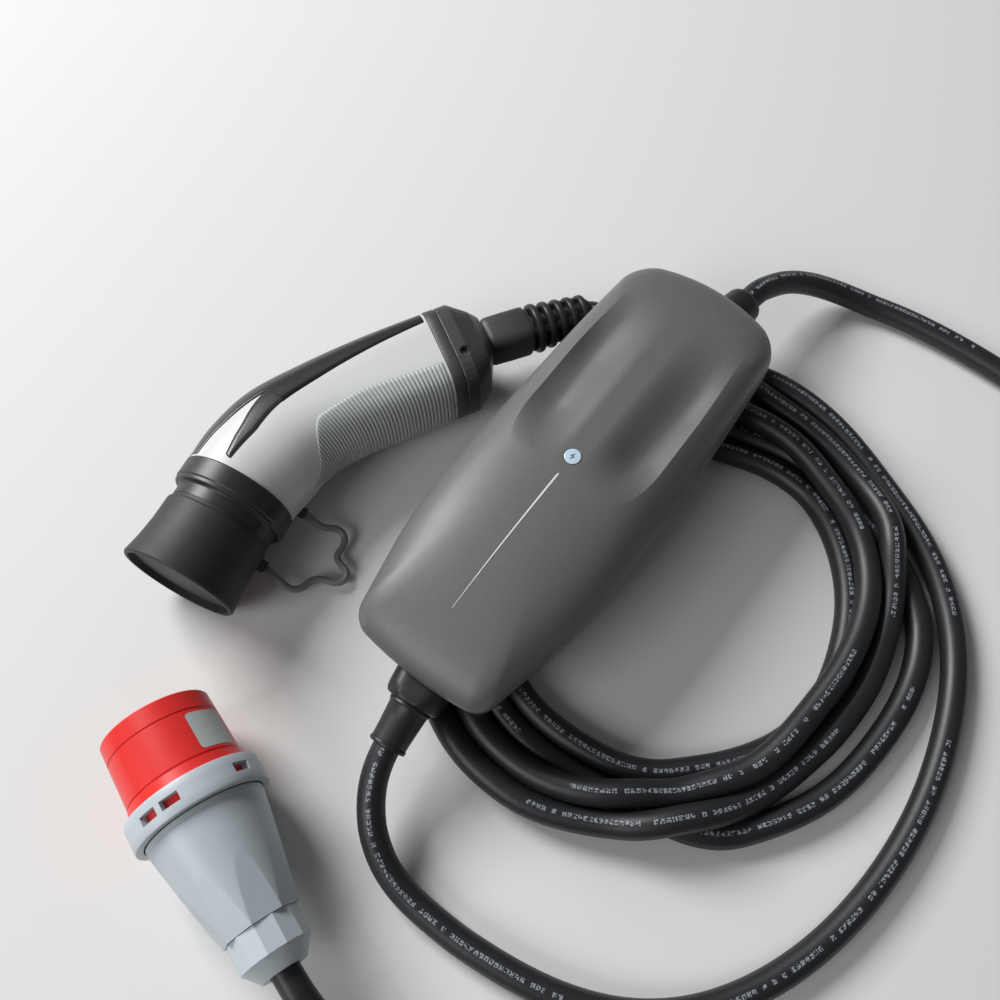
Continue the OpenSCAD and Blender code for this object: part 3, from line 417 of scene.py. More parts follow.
def eased(t, ratio):
    """The crown's own measure from its middle to its rim, round in the middle and true at the rim."""
    w = smooth01((t - 0.45) / 0.55)
    return t * (w + (1 - w) * ratio)


def cover_height(x, y):
    """The cover's height at a point of the box."""
    x = np.asarray(x, float) / WIDER
    r = np.maximum(0.01, np.hypot(x, y))
    c, s = x / r, y / r
    ratio = np.interp(np.mod(np.arctan2(s, c), 2 * math.pi), ray_angle, rim_ratio)
    return RIM_Z + crown(eased(r / edge_at(c, s, 0), ratio), CROWN_H, dome_at(s)) - channel(x, y)


# Where each ray crosses the crease.
lo, hi = np.zeros(RAYS), rim * 0.9
for _ in range(26):
    m = (lo + hi) / 2
    inner = np.abs(m * ray_c) < crease_x(m * ray_s)
    lo, hi = np.where(inner, m, lo), np.where(inner, hi, m)
crease_t = (lo + hi) / 2 / rim
OUT_RINGS, IN_RINGS = 46, 70
steps = [1 - (1 - crease_t) * (w**2.4) for w in np.linspace(0, 1, OUT_RINGS)]
steps += [crease_t * w for w in np.linspace(1, 0.012, IN_RINGS)[1:]]
rows = []
for t in steps:
    x, y = ray_c * rim * t, ray_s * rim * t
    z = RIM_Z + crown(eased(t, rim_ratio), CROWN_H, dome_at(ray_s)) - channel(x, y)
    rows.append(np.stack([BOX[0] + WIDER * x, BOX[1] + y, z], -1))
inner_edge = edge_at(ray_c, ray_s, WALL)
under = []
for t in np.sin(np.linspace(math.pi / 2, 0.02, 14)):
    x, y = ray_c * inner_edge * t, ray_s * inner_edge * t
    z = RIM_Z + crown(eased(t, rim_ratio), CROWN_H - WALL, dome_at(ray_s)) - channel(x, y)
    under.append(np.stack([BOX[0] + WIDER * x, BOX[1] + y, z], -1))
# The skin runs from the middle of the underside out over the rim and in to the top.
rows = np.array(under[::-1] + rows)
cover = loft("cover_skin", rows, M["cover"], caps=True)
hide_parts("upper_cover")
ring = (len(under) + OUT_RINGS - 1) * RAYS
sharp = set()
ys = ray_s * rim * crease_t
for k in range(RAYS):
    if -12 < ys[k] < 108 and crease_t[k] < 0.89:
        sharp.add((ring + k, ring + (k + 1) % RAYS))
first = len(under) * RAYS
bm = bmesh.new()
bm.from_mesh(cover.data)
bm.verts.ensure_lookup_table()
for a, b in list(sharp) + [(first + k, first + (k + 1) % RAYS) for k in range(RAYS)]:
    e = bm.edges.get((bm.verts[a], bm.verts[b]))
    if e:
        e.smooth = False
bm.to_mesh(cover.data)
bm.free()

# The tray's wall, its lip and the gasket, round the same outline.
def box_ring(inset, z):
    """The outline moved inwards, at a height."""
    r = edge_at(ray_c, ray_s, inset)
    return np.stack([BOX[0] + WIDER * ray_c * r, BOX[1] + ray_s * r, np.full(RAYS, float(z))], -1)


TOP = RIM_Z - 1.2
TRAY_RINGS = [
    (6, BASE_Z - 0.01), (5.98, BASE_Z + 0.4), (5.6, BASE_Z + 2),
    (3.98, BASE_Z + 2.4), (3.98, TOP - 2.6), (3.6, TOP - 2.2),
]
LIP_RINGS = [(3.6, TOP - 2.21), (0.8, TOP - 2.21), (0.46, TOP - 1.9), (0.46, TOP - 0.3), (0.8, TOP), (3.8, TOP)]
GASKET_RINGS = [(4, TOP), (1.18, TOP), (1.18, RIM_Z), (4, RIM_Z)]
tray = loft("tray_skin", [box_ring(i, z) for i, z in TRAY_RINGS], M["black"])
split_edges(tray)
lip = loft("lip_skin", [box_ring(i, z) for i, z in LIP_RINGS], M["lip"])
split_edges(lip, 50)
gasket = loft("gasket_skin", [box_ring(i, z) for i, z in GASKET_RINGS], M["gasket"])
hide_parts("housing_gasket")


# Wide boss and sleeve of the vehicle cable, and the short boot of the supply cable.
SLEEVE_OUT = 34.2
revolve(
    "outlet_boss", OUT_P, OUT_D,
    closed_ring([(8, -7), (15.6, -7), (15.3, 4), (14.9, 8.4), (13.8, 10.4), (12.2, 11.0), (8, 11.0)]),
    M["black"], floor_z=BASE_Z + 0.2, top_z=TOP - 0.1,
)
sleeve = revolve(
    "outlet_sleeve", OUT_P, OUT_D,
    closed_ring(
        [
            (7, 10.8), (10.9, 10.8), (11.1, 11.2), (11.1, 12.6), (10.7, 13.1), (10.3, 14), (9.9, 20), (9.5, 26),
            (9.3, 31.6), (9.6, 32), (9.75, 32.4), (9.75, 33.6), (9.4, 34.1), (8.6, SLEEVE_OUT), (7, SLEEVE_OUT),
        ]
    ),
    M["boot"],
)
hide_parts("outlet_strain_relief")
boot = revolve(
    "supply_boot", SUP_P, SUP_D,
    closed_ring(
        [
            (7, 2), (12.4, 2), (12.4, 5), (12.2, 9), (11.8, 14), (11.5, 19), (11.2, 22.4), (10.7, 23.8), (9.8, 24.7),
            (8.4, 25.1), (7, 25.2),
        ]
    ),
    M["boot"],
)
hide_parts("supply_strain_relief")


# Indicator, its bolt sign and the light bar, each in a thin dark gap.
def disc(name, at, radii, mat, lift):
    """Rings of (radius, height over the cover) round a point of the box."""
    sides = 72
    a = np.linspace(0, 2 * math.pi, sides, endpoint=False)
    base = float(cover_height(np.array([at[0]]), np.array([at[1]]))[0])
    rows = []
    for r, h in radii:
        z = np.full(sides, base + lift + h)
        rows.append(np.stack([BOX[0] + at[0] + r * np.cos(a), BOX[1] + at[1] + r * np.sin(a), z], -1))
    return loft(name, rows, mat, caps=True)


LENS = (0.0, -6.6)
disc("lens_gap", LENS, [(4.75, -0.25), (4.75, 0.0), (4.3, 0.0)], M["gasket"], 0.0)
LENS_RINGS = [(4.4, -2.0), (4.4, 0.0), (4.2, 0.13), (3.4, 0.2), (1.0, 0.22)]
lens = disc("lens", LENS, LENS_RINGS, M["blue"], -0.04)
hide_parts("indicator_lens")
lens_top = float(cover_height(np.array([LENS[0]]), np.array([LENS[1]]))[0]) + 0.205
bolt = [(0.65, 2.5), (-1.55, -0.35), (-0.1, -0.2), (-0.65, -2.5), (1.55, 0.35), (0.1, 0.2)]
mesh_object(
    "bolt_sign",
    [(BOX[0] + LENS[0] + x, BOX[1] + LENS[1] + y, lens_top) for x, y in bolt],
    [(0, 1, 2, 5), (2, 3, 4, 5)],
    M["sign"], smooth=False,
)


BAR_FROM, BAR_LEN = -18, 86


def bar(name, extra, lift, mat):
    """The tapering light bar on the cover, or the gap round it."""
    t = np.linspace(0, 1, 60)
    y = BAR_FROM + extra - (BAR_LEN + 2 * extra) * t
    half = (0.95 - 0.72 * t) * np.minimum(1, np.sqrt(np.minimum(t, 1 - t) * 40) + 0.25) + extra
    rows = []
    for k in (-1, -0.6, 0.6, 1):
        x = half * k
        drop = -0.5 if abs(k) == 1 else 0.0
        rows.append(np.stack([BOX[0] + x, BOX[1] + y, cover_height(x, y) + lift + drop], -1))
    return loft(name, rows, mat, wrap=False)


bar("bar_gap", 0.22, 0.02, M["gasket"])
light_bar = bar("bar_strip", 0.0, 0.09, M["white"])
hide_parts("light_bar")

# The handle's stations: middle across and along, turn in degrees, half width, half height, squareness.
STATIONS = np.array(
    [
        [0, 1, 0, 31.8, 31.8, 2],
        [1.4, 20, -3, 33.4, GRIP + 6, 2.1],
        [6.2, 43.6, -10, 32.2, GRIP + 4, 2.3],
        [20.6, 68.3, -21, 30, GRIP + 2, 2.7],
        [39.4, 93.8, -31, 28.8, GRIP + 0.8, 3.4],
        [59.7, 119.4, -41, 28, GRIP, 4],
    ],
    float,
)


def station(s):
    """The handle's section at s, smoothly between stations."""
    i = int(min(4, max(0, math.floor(s))))
    t = s - i
    a = 2 * STATIONS[0] - STATIONS[1] if i == 0 else STATIONS[i - 1]
    b, c = STATIONS[i], STATIONS[i + 1]
    d = 2 * STATIONS[5] - STATIONS[i] if i + 2 > 5 else STATIONS[i + 2]
    return 0.5 * (2 * b + (c - a) * t + (2 * a - 5 * b + 4 * c - d) * t * t + (3 * b - a - 3 * c + d) * t**3)


def on_handle(s, a, g):
    """Points of the handle's surface at station s and angles a in degrees, moved outwards by g."""
    a = np.radians(np.asarray(a, float))
    q = station(s)
    w = 2 / q[5]
    c = np.sign(np.cos(a)) * np.abs(np.cos(a)) ** w
    d = np.sign(np.sin(a)) * np.abs(np.sin(a)) ** w
    t = math.radians(q[2])
    return np.stack([q[0] + (q[3] + g) * c * math.cos(t), q[1] + (q[3] + g) * c * math.sin(t), (q[4] + g) * d], -1)


for name, turn in (("handle_cover_upper", 0), ("handle_cover_lower", 180)):
    a = np.concatenate([[0], np.linspace(0.4, 179.6, 110), [180]]) + turn
    g = np.zeros(112)
    g[0] = g[-1] = -0.35
    rows = np.array([on_handle(s, a, g) for s in np.linspace(0, 5, 150)])
    deep = np.array([on_handle(s, a, -2.6) for s in np.linspace(0, 5, 150)])
    half = loft(name + "_skin", conn(thick(rows, deep)), M["grey"])
    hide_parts(name)

# The ribbed pad: where it starts, how far it reaches round each side, and one rib's section.
PAD_FROM = 1.22


def pad_reach(s):
    return 4 + 62 * smooth01((s - PAD_FROM) / 1.25) + 13 * smooth01((s - 2.1) / 1.6)


RIBS = 48
groove = [0.12, 0.5, 0.72, 0.78, 0.72, 0.5]
rows, deep = [], []
for j in range(RIBS * 6 + 1):
    s = PAD_FROM + (4.955 - PAD_FROM) * j / (RIBS * 6)
    t = np.linspace(-1, 1, 61)
    ease = np.clip((1 - np.abs(t)) / 0.045, 0, 1)
    ends = min(1.0, j / 5, (RIBS * 6 - j) / 5)
    rows.append(on_handle(s, pad_reach(s) * t, 0.06 + (groove[j % 6] - 0.06) * ease * ends))
    deep.append(on_handle(s, pad_reach(s) * t, -0.5))
pad = loft("grip_ribs", conn(thick(np.array(rows), np.array(deep))), M["pad"], caps=True)
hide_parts("grip_pad")


def patch(name, ss, lo, hi, g, mat, extra=0.0, edge=0.05):
    """A thin patch on the handle between two angles at each station, with eased edges."""
    rows, deep = [], []
    t = np.linspace(-1, 1, 45)
    for s, a, b in zip(ss, lo, hi):
        mid, h = (a + b) / 2, (b - a) / 2 + extra
        ease = np.sqrt(np.clip((1 - np.abs(t)) * h / 3.0, 0, 1))
        rows.append(on_handle(s, mid + h * t, edge + (g - edge) * ease))
        deep.append(on_handle(s, mid + h * t, -0.5))
    return loft(name, conn(thick(np.array(rows), np.array(deep))), mat, caps=True)


# The strip's inner edge, the outer edge of each tongue and the edge of the prong between the tongues.
APEX, APEX_A = 2.15, 117.0


def strip_inner(s):
    return 91 + 21 * np.clip((s - 1.3) / 3.7, 0, 1) ** 1.1


def tongue_outer(s):
    t = np.clip((s - 0.25) / (APEX - 0.25), 0, 1)
    return strip_inner(s) + np.sqrt(np.clip(t / 0.04, 0.03, 1)) * (5 + (APEX_A - 5 - strip_inner(APEX)) * t**1.15)


def prong_edge(s):
    return 131.5 + (APEX_A - 131.5) * np.clip(s / APEX, 0, 1) ** 1.3


rear_s = np.linspace(APEX - 0.01, 4.96, 110)
prong_s = np.linspace(0.06, APEX + 0.06, 80)
tongue_s = 0.25 + (APEX + 0.06 - 0.25) * np.linspace(0, 1, 90) ** 1.3
PROUD, OUTLINE_SHADE_PROUD = 0.42, 0.07
band_lo, prong_lo = strip_inner(rear_s), prong_edge(prong_s)
strip = patch("strip_band", rear_s, band_lo, 360 - band_lo, PROUD, M["strip"])
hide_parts("back_strip")
# Near-black sheets just proud of the handle and a little wider than each strip piece show as a dark outline round it:
# painted shade along the strip's edges.
patch("strip_band_painted_shade", rear_s, band_lo, 360 - band_lo, OUTLINE_SHADE_PROUD, M["gasket"], extra=1.2)
patch("strip_prong", prong_s, prong_lo, 360 - prong_lo, PROUD, M["strip"])
patch("strip_prong_painted_shade", prong_s, prong_lo, 360 - prong_lo, OUTLINE_SHADE_PROUD, M["gasket"], extra=1.2)
for k, m in enumerate((1, -1)):
    lo, hi = m * strip_inner(tongue_s), m * tongue_outer(tongue_s)
    lo, hi = np.minimum(lo, hi), np.maximum(lo, hi)
    patch("strip_tongue_%d" % k, tongue_s, lo, hi, PROUD, M["strip"])
    # The same near-black sheet round each tongue: painted shade along its edges.
    patch("strip_tongue_gap_%d" % k, tongue_s - 0.02, lo, hi, OUTLINE_SHADE_PROUD, M["gasket"], extra=1.0)

# Rear flange, with soft edges.
REAR_Q = STATIONS[5]
rear_turn = R(REAR_Q[2])
rear_in = np.array([math.cos(rear_turn), math.sin(rear_turn), 0])
rear_back = np.array([-math.sin(rear_turn), math.cos(rear_turn), 0])
rear_at = np.array([REAR_Q[0], REAR_Q[1], 0])


def rear_ring(c, t, a, b, p):
    """A squared ring behind the handle, t back from its last station."""
    f = np.linspace(0, 2 * math.pi, 144, endpoint=False)
    u = a * np.sign(np.cos(f)) * np.abs(np.cos(f)) ** (2 / p)
    v = b * np.sign(np.sin(f)) * np.abs(np.sin(f)) ** (2 / p)
    return rear_at + (c + u)[:, None] * rear_in + t * rear_back + v[:, None] * np.array([0, 0, 1.0])


FLANGE_RINGS = [(0.02, 0.1), (0.25, 0.6), (0.7, 0.8), (6.2, 0.8), (6.7, 0.6), (6.95, 0.1)]
flange = loft(
    "flange_skin", [conn(rear_ring(0, t, 28 + g, GRIP + g, 4)) for t, g in FLANGE_RINGS],
    M["rear"], caps=True,
)
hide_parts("rear_flange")

# Bend relief: a squared neck, then a thin core with rings and webs.
RELIEF_Q = rear_at - 5 * rear_in + 30 * rear_back
RELIEF_D = np.array([-math.sin(R(-42)) * math.cos(R(3)), math.cos(R(-42)) * math.cos(R(3)), -math.sin(R(3))])
RELIEF_LEN = 67
relief_end = conn(RELIEF_Q + RELIEF_LEN * RELIEF_D)
relief_dir = conn(RELIEF_D) - conn(np.zeros(3))
relief_at = conn(RELIEF_Q)
neck = revolve(
    "relief_neck", relief_at, relief_dir,
    closed_ring(
        [
            (7, -3.9), (11, -3.9), (11, 0.2), (11.2, 1), (11.9, 2), (12.3, 4), (12.5, 14), (12.5, 25.4), (12.1, 26.6),
            (11.4, 27), (10.4, 27.2), (10.4, 28.6), (7, 28.6),
        ]
    ),
    M["neck"], flat=0.55,
)
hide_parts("bend_relief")
revolve(
    "relief_core", relief_at, relief_dir,
    closed_ring([(7, 27.6), (8.8, 27.6), (8.4, 66.4), (8.0, RELIEF_LEN), (7, RELIEF_LEN)]),
    M["boot"],
)
for k in range(5):
    r, t = 14.6 - 0.75 * k, 30.2 + 7.6 * k
    revolve(
        "relief_ring_%d" % k, relief_at, relief_dir,
        closed_ring(
            [
                (7.6, t), (r - 1.2, t), (r - 0.4, t + 0.3), (r, t + 1.1), (r, t + 2.9), (r - 0.4, t + 3.7),
                (r - 1.2, t + 4), (7.6, t + 4),
            ]
        ),
        M["boot"],
    )
x, y = axes(relief_dir)
for k in range(4):
    u = x * math.cos(R(90 * k + 45)) + y * math.sin(R(90 * k + 45))
    v = np.cross(relief_dir, u)
    rows = []
    for t, r in ((28.6, 13.0), (63.5, 10.6)):
        c = relief_at + relief_dir * t
        low = [c + u * 7.6 - v * 2.6, c + u * (r - 0.6) - v * 2.4, c + u * r - v * 1.4]
        high = [c + u * r + v * 1.4, c + u * (r - 0.6) + v * 2.4, c + u * 7.6 + v * 2.6]
        rows.append(low + high)
    split_edges(loft("relief_web_%d" % k, rows, M["boot"], caps=True))


def smooth_line(points, step):
    """Points about a step apart on a smooth line through the given points."""
    p = np.array(points, float)
    p = np.vstack([2 * p[0] - p[1], p, 2 * p[-1] - p[-2]])
    out = []
    for i in range(1, len(p) - 2):
        a, b, c, d = p[i - 1 : i + 3]
        t0, t1 = 0.0, np.linalg.norm(b - a) ** 0.5
        t2 = t1 + np.linalg.norm(c - b) ** 0.5
        t3 = t2 + np.linalg.norm(d - c) ** 0.5
        n = max(2, int(np.linalg.norm(c - b) / step))
        for t in np.linspace(t1, t2, n, endpoint=False):
            a1 = (t1 - t) / (t1 - t0) * a + (t - t0) / (t1 - t0) * b
            a2 = (t2 - t) / (t2 - t1) * b + (t - t1) / (t2 - t1) * c
            a3 = (t3 - t) / (t3 - t2) * c + (t - t2) / (t3 - t2) * d
            b1 = (t2 - t) / (t2 - t0) * a1 + (t - t0) / (t2 - t0) * a2
            b2 = (t3 - t) / (t3 - t1) * a2 + (t - t1) / (t3 - t1) * a3
            out.append((t2 - t) / (t2 - t1) * b1 + (t - t1) / (t2 - t1) * b2)
    out.append(p[-2])
    return even(np.array(out), step)


def even(p, step):
    """The same line in even steps."""
    d = np.concatenate([[0], np.cumsum(np.linalg.norm(np.diff(p, axis=0), axis=1))])
    n = max(2, int(round(d[-1] / step)) + 1)
    s = np.linspace(0, d[-1], n)
    return np.column_stack([np.interp(s, d, p[:, k]) for k in range(3)])


def tube(name, path, radius, mat, body="charger", sides=20, ride=True):
    """A round tube round a path in mm, with a UV map: u along it in metres, v round it."""
    path = np.array(path, float)
    n = len(path)
    d = np.gradient(path, axis=0)
    d /= np.linalg.norm(d, axis=1)[:, None]
    verts = []
    side_v = unit(np.cross(d[0], [0, 0, 1.0]))
    for i in range(n):
        flat = np.cross(d[i], [0, 0, 1.0])
        side_v = unit(side_v - d[i] * side_v.dot(d[i]))
        side_v = unit(0.8 * side_v + 0.2 * flat)
        side_v = unit(side_v - d[i] * side_v.dot(d[i]))
        up = np.cross(side_v, d[i])
        for k in range(sides):
            a = 2 * math.pi * k / sides
            verts.append(path[i] + radius * (math.cos(a) * side_v + math.sin(a) * up))
    faces = grid_faces(n, sides, True) + [list(range(sides)), list(range((n - 1) * sides, n * sides))]
    o = mesh_object(name, verts, faces, mat, body, ride=ride)
    along = np.concatenate([[0], np.cumsum(np.linalg.norm(np.diff(path, axis=0), axis=1))]) * MM
    uv = o.data.uv_layers.new(name="UVMap")
    for poly in o.data.polygons:
        if len(poly.vertices) > 4:
            poly.use_smooth = False
            continue
        ks = [v % sides for v in poly.vertices]
        wrap = max(ks) - min(ks) > sides / 2
        for li, v in zip(poly.loop_indices, poly.vertices):
            k = v % sides
            if wrap and k == 0:
                k = sides
            uv.data[li].uv = (along[v // sides], k / sides)
    return o


# The coil's centre, and the height of a cable's middle line where it lies on the ground.
CENTRE = (132.0, -10.0)
REST = 7.05


def turn_of(points):
    """Points given as (angle in degrees, radius, height) round the coil's centre."""
    return [laid(CENTRE[0] + r * math.cos(R(a)), CENTRE[1] + r * math.sin(R(a)), z) for a, r, z in points]


sleeve_end = OUT_P + SLEEVE_OUT * OUT_D
gland_end = SUP_P + 37.4 * SUP_D
vehicle_route = (
    [sleeve_end - 6 * OUT_D, sleeve_end]
    + [
        laid(*p)
        for p in [
            (72.1, -179.5, 30.5), (77.5, -191, 25.8), (85.5, -200.9, 20.6), (95.6, -208.5, 15.6),
            (107.3, -213.4, 11.6), (119.8, -215.6, 8.9), (145, -216.2, REST), (171, -214.6, REST),
            (199, -209.4, REST), (227, -198.5, REST), (252, -180, REST), (273, -152, REST),
            (288, -118, REST), (296, -84, REST), (299, -50, REST), (298, -22, REST), (293, 6, REST),
            (285.2, 34.4, REST), (271.4, 62.2, REST), (250.3, 86.9, REST), (227.7, 104.4, REST), (205.1, 114.7, REST),
        ]
    ]
    + turn_of(
        [
            (76.8, 149, 7.1), (87.4, 152, 7.1), (98, 154.5, 7.1), (106, 152, 7.1), (116, 146, 7.1),
            (126, 139, 7.1), (138, 132, 7.1), (150, 126, 7.1), (180, 118, 7.1), (210, 110, 7.1), (240, 104, 7.1),
            (261, 102, 7.1), (275, 103, 7.1), (289, 103, 7.1), (309, 102, 7.1), (345, 103, 7.1),
            (388, 104, 7.1), (400, 105, 7.1), (416, 108, 7.1), (431, 108, 7.1), (444, 105, 7.1), (458, 98, 9),
            (480, 98, 20), (510, 98, 21), (540, 99, 21), (570, 101, 21), (600, 107, 14), (615, 112, 7.1),
            (626, 113, 7.1), (640, 112.5, 7.1), (655, 119, 7.1), (673, 132, 7.1), (681, 132, 7.1),
            (691, 133, 7.1), (702, 135, 7.1), (715, 134, 7.1), (727, 137, 7.1), (737, 140, 7.1),
            (748, 141, 7.1), (768, 128, 7.1), (790, 116, 7.1), (807, 113, 7.1), (819, 109, 9),
            (840, 110, 20), (870, 111, 21), (900, 112, 21), (930, 118, 21), (960, 126, 21),
            (974, 130, 21), (992, 126, 21), (1003, 121, 21), (1017, 115, 21), (1036, 111, 21),
            (1048, 108, 21), (1068, 100, 21), (1087, 101, 21), (1098, 103, 21), (1110, 107, 21),
            (1122, 111, 21), (1139, 112, 21), (1154, 115, 21), (1166, 117, 21), (1176, 113, 21),
            (1195, 120, 21), (1225, 125, 21), (1260, 126, 21), (1290, 130, 21), (1320, 137, 21),
            (1333, 141, 21), (1345, 140, 21), (1355, 137, 21), (1368, 131, 21), (1382, 125, 21),
            (1395, 119, 21), (1410, 116, 21), (1425, 113, 21), (1446, 117, 21), (1461, 119, 21),
            (1471, 123, 21), (1481, 127, 21), (1496, 131, 21), (1510, 133, 21), (1523, 135, 21),
        ]
    )
    + [laid(*p) for p in [(122, 124.5, 21), (96, 127, 21), (70, 127, 21), (45, 124.5, 21), (29, 120.5, 21)]]
    + [laid(15, 112, 22), relief_end, relief_end - 10 * relief_dir]
)

supply_route = (
    [gland_end - 18 * SUP_D, gland_end - 8 * SUP_D]
    + [
        laid(*p)
        for p in [
            (82.3, 179, 37.2), (88, 192, 32), (97, 205, 24.5), (110, 216, 16.5), (129, 224.5, 10),
            (152, 229.5, 7.3), (174, 231, REST), (199, 231, REST), (226, 229, REST), (256, 226, REST),
            (288, 215, REST), (318, 194, REST), (342, 159, REST), (359, 115, REST), (371, 66, REST),
            (381, 7, REST), (385, -52, REST),
            (377, -110, REST), (350, -164, REST), (310, -209, REST), (261, -245, 9), (207, -270, 14),
            (158, -281, 23), (126, -279, 31),
        ]
    ]
    + [PLUG_P + PLUG_D * PLUG_END, PLUG_P + PLUG_D * (PLUG_END - 24)]
)


def settle(p, fixed, rounds, r=CABLE_R + 0.06):
    """Settles a route: smooth, on the ground, under the box and never through itself."""
    home = p.copy()
    n = len(p)
    free = ~fixed
    step = np.linalg.norm(p[1] - p[0])
    skip = int(3.2 * r / step) + 1
    idx = np.arange(n)
    far = np.abs(idx[:, None] - idx[None, :]) > skip
    for _ in range(rounds):
        m = p.copy()
        m[1:-1] = 0.5 * p[1:-1] + 0.25 * (p[:-2] + p[2:])
        m[:, :2] += 0.02 * (home[:, :2] - m[:, :2])
        m[:, 2] -= 0.15
        p[free] = m[free]
        for _ in range(3):
            g = p[:, None, :] - p[None, :, :]
            d = np.sqrt((g**2).sum(2)) + 1e-9
            push = np.where(far & (d < 2 * r), (2 * r - d) / d, 0)
            move = (push[:, :, None] * g).sum(1) * 0.3
            p[free] += move[free]
            under = (np.abs(p[:, 0] - BOX[0]) < 50) & (np.abs(p[:, 1] - BOX[1]) < 128)
            p[:, 2] = np.where(free & under, np.minimum(p[:, 2], BASE_Z - r), p[:, 2])
            p[:, 2] = np.where(free, np.maximum(p[:, 2], r), p[:, 2])
    return p


def settled(route, ends, rounds=60):
    """A route in even steps, settled between as many fixed steps as ends says."""
    p = smooth_line(route, 5.0)
    fixed = np.zeros(len(p), bool)
    fixed[: ends[0]] = True
    fixed[-ends[1] :] = True
    p = settle(p, fixed, rounds)
    return even(p, 4.5)


vehicle_path = settled(vehicle_route, (24, 5))
supply_path = settled(supply_route, (5, 8), 10)
vehicle_cable = tube("vehicle_cable", vehicle_path, CABLE_R, M["rubber"])
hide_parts("outlet_cable", "cable_coil", "connector_cable")
supply_cable = tube("supply_cable_run", supply_path, CABLE_R, M["rubber"])
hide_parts("supply_cable")
# The stretches of cable inside the box, the plug and the connector.
for n, p, d, t in (("outlet_cable_end", OUT_P, OUT_D, 28), ("supply_cable_end", SUP_P, SUP_D, 20)):
    tube(n, [p - 26 * d, p - 10 * d, p + 6 * d, p + t * d], CABLE_R, M["boot"])
tube("plug_cable_end", [PLUG_P + PLUG_D * 131, PLUG_P + PLUG_D * 96], CABLE_R, M["boot"])
q = conn(RELIEF_Q)
tube("connector_cable_end", [q - 30 * relief_dir, q, q + 55 * relief_dir], CABLE_R, M["boot"])


def ring_with_windows():
    """The locking ring, its windows cut through to the red sleeve."""
    wide = 16
    starts = [a - wide / 2 for a in (34, 97, 118, 205, 270, 330)]
    cols = [a for a in np.arange(0, 360, 3.0) if not any(s - 1.4 < a < s + wide + 1.4 for s in starts)]
    cols = sorted(cols + [s + d for s in starts for d in (0, 4, 8, 12, wide)])
    middles = [(cols[i] + cols[(i + 1) % len(cols)]) / 2 for i in range(len(cols))]
    inside = [any(s - 0.1 <= a <= s + wide + 0.1 for s in starts) for a in middles]
    ts = [SLEEVE_LEN + t for t in (0, 0.25, 0.9, 4.7, 9.3, RING_W - 0.9, RING_W - 0.25, RING_W)]
    rs = [RING_R - 0.9, RING_R - 0.3, RING_R, RING_R, RING_R, RING_R, RING_R - 0.3, RING_R - 0.9]
    verts, faces = [], []
    n, m = len(cols), len(ts)
    for t, r in zip(ts, rs):
        verts += [on_plug(R(a), r, t) for a in cols]
    for t in ts:
        verts += [on_plug(R(a), SLEEVE_R + 1.28, t) for a in cols]
    low = n * m
    for i in range(m - 1):
        for k in range(n):
            k2 = (k + 1) % n
            q = [i * n + k, i * n + k2, (i + 1) * n + k2, (i + 1) * n + k]
            if i == 3 and inside[k]:
                faces += [[q[0], q[1], q[1] + low, q[0] + low], [q[2], q[3], q[3] + low, q[2] + low]]
                continue
            faces += [q, [v + low for v in q[::-1]]]
            if i == 3:
                if inside[(k + 1) % n]:
                    faces.append([q[1], q[2], q[2] + low, q[1] + low])
                if inside[k - 1]:
                    faces.append([q[0], q[3], q[3] + low, q[0] + low])
    for i in (0, m - 1):
        faces += [[i * n + k, i * n + (k + 1) % n, i * n + (k + 1) % n + low, i * n + k + low] for k in range(n)]
    o = mesh_object("ring_windows", verts, faces, M["pale"])
    split_edges(o)
    return o


lock_ring = ring_with_windows()
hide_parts("plug_locking_ring")


def faceted_housing():
    """A round skirt behind the ring, then a cone with eight arched flats."""
    rows = []
    a = np.linspace(0, 2 * math.pi, 192, endpoint=False)
    start = SLEEVE_LEN + RING_W
    for t, r in ((start + 0.15, 28.6), (start + 0.3, 29.2), (start + 3, 29.2), (start + 3.2, 28.9)):
        rows.append([on_plug(x, r, t) for x in a])
    fold = np.mod(a, math.pi / 4) - math.pi / 8
    for w in np.linspace(0, 1, 60):
        t = start + 3.25 + w * (BODY_END - start - 3.25)
        cone = 28.9 + (19 - 28.9) * w ** 1.08
        flat = 30.6 + (17.5 - 30.6) * w
        rows.append([on_plug(x, min(cone, flat / math.cos(f)), t) for x, f in zip(a, fold)])
    o = loft("housing_skin", rows, M["pale"], caps=True)
    split_edges(o, 8)
    return o


housing = faceted_housing()
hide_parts("plug_housing")


def blank_label():
    """A plain pale label with round corners on the sleeve."""
    rows = []
    for t in np.linspace(0, 1, 31):
        z = 12.2 + 19.4 * t
        corner = max(0.0, 2 - 19.4 * min(t, 1 - t))
        half = 10.4 - (2 - math.sqrt(max(0.0, 4 - corner * corner)))
        r = SLEEVE_R - 0.7 + 0.7 * (z - 10.8) / (SLEEVE_LEN - 7 - 10.8) + 0.08
        rows.append([on_plug(R(32.5) + x * half / r, r, z) for x in np.linspace(-1, 1, 21)])
    return loft("sleeve_label", rows, M["label"], wrap=False)


blank_label()

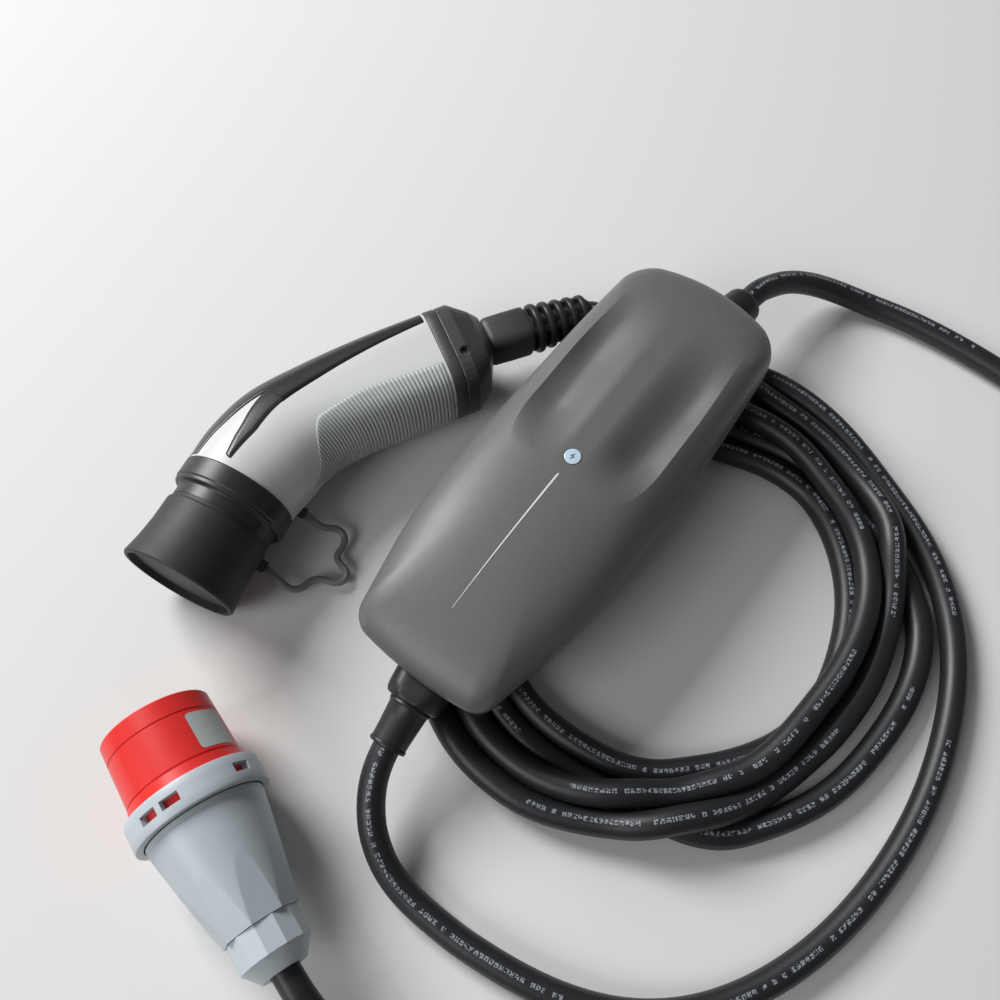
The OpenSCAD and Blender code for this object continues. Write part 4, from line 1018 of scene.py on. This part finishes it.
# Wavy tether between its clip on the collar and the eye on the dust cap.
clip = conn(np.array([35.9 * math.cos(R(-27)), 9.6, 35.9 * math.sin(R(-27))]))
eye = conn(np.array([34.4 * math.cos(R(-32)), -27.0, 34.3 * math.sin(R(-32))]))
tether_points = [
    (-39.4, -93.7, 11), (-34.6, -89.4, 8.5), (-28.5, -89.6, 6.5), (-25.4, -95, 5.5), (-25, -101, 5),
    (-20, -103.6, 5), (-14.2, -105, 5), (-12, -110, 5), (-16, -114.4, 5), (-22, -116.4, 5.5),
    (-26.4, -121, 6), (-27.2, -127.4, 7), (-31, -131.6, 8.5), (-37.5, -132, 11),
]
tether_path = smooth_line([clip] + [laid(*q) for q in tether_points] + [eye], 1.2)
for _ in range(3):
    tether_path[1:-1] = 0.5 * tether_path[1:-1] + 0.25 * (tether_path[:-2] + tether_path[2:])
tether = tube("tether", tether_path, 1.95, M["tether"], sides=16, ride=False)
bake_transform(tether)
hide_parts("cap_tether")

# Floor and light.
bpy.ops.mesh.primitive_plane_add(size=8, location=(0, 0, -0.0002))
floor = bpy.context.object
floor.name = "floor"
floor.data.materials.append(material("floor_pale", (0.70, 0.70, 0.69), 0.9))

world = bpy.data.worlds.new("world")
scene.world = world
world.use_nodes = True
world.node_tree.nodes["Background"].inputs["Color"].default_value = (1, 1, 1, 1)
world.node_tree.nodes["Background"].inputs["Strength"].default_value = 0.13


def area_light(name, at, to, size, power):
    """A soft rectangular light at a place in metres, turned towards another."""
    d = bpy.data.lights.new(name, "AREA")
    d.shape = "RECTANGLE"
    d.size, d.size_y = size
    d.energy = power
    o = bpy.data.objects.new(name, d)
    scene.collection.objects.link(o)
    o.location = at
    o.rotation_euler = (Vector(at) - Vector(to)).to_track_quat("Z", "Y").to_euler()


area_light("key", (-2.3, 0.05, 1.9), (0.0, 0, 0), (1.3, 1.3), 105)
area_light("front", (-0.5, -2.2, 1.7), (0.05, 0, 0), (1.3, 1.3), 26)

# The solids that stay in view are shaded smooth between their sharp edges.
for name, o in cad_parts.items():
    o.data.polygons.foreach_set("use_smooth", [True] * len(o.data.polygons))
    split_edges(o)
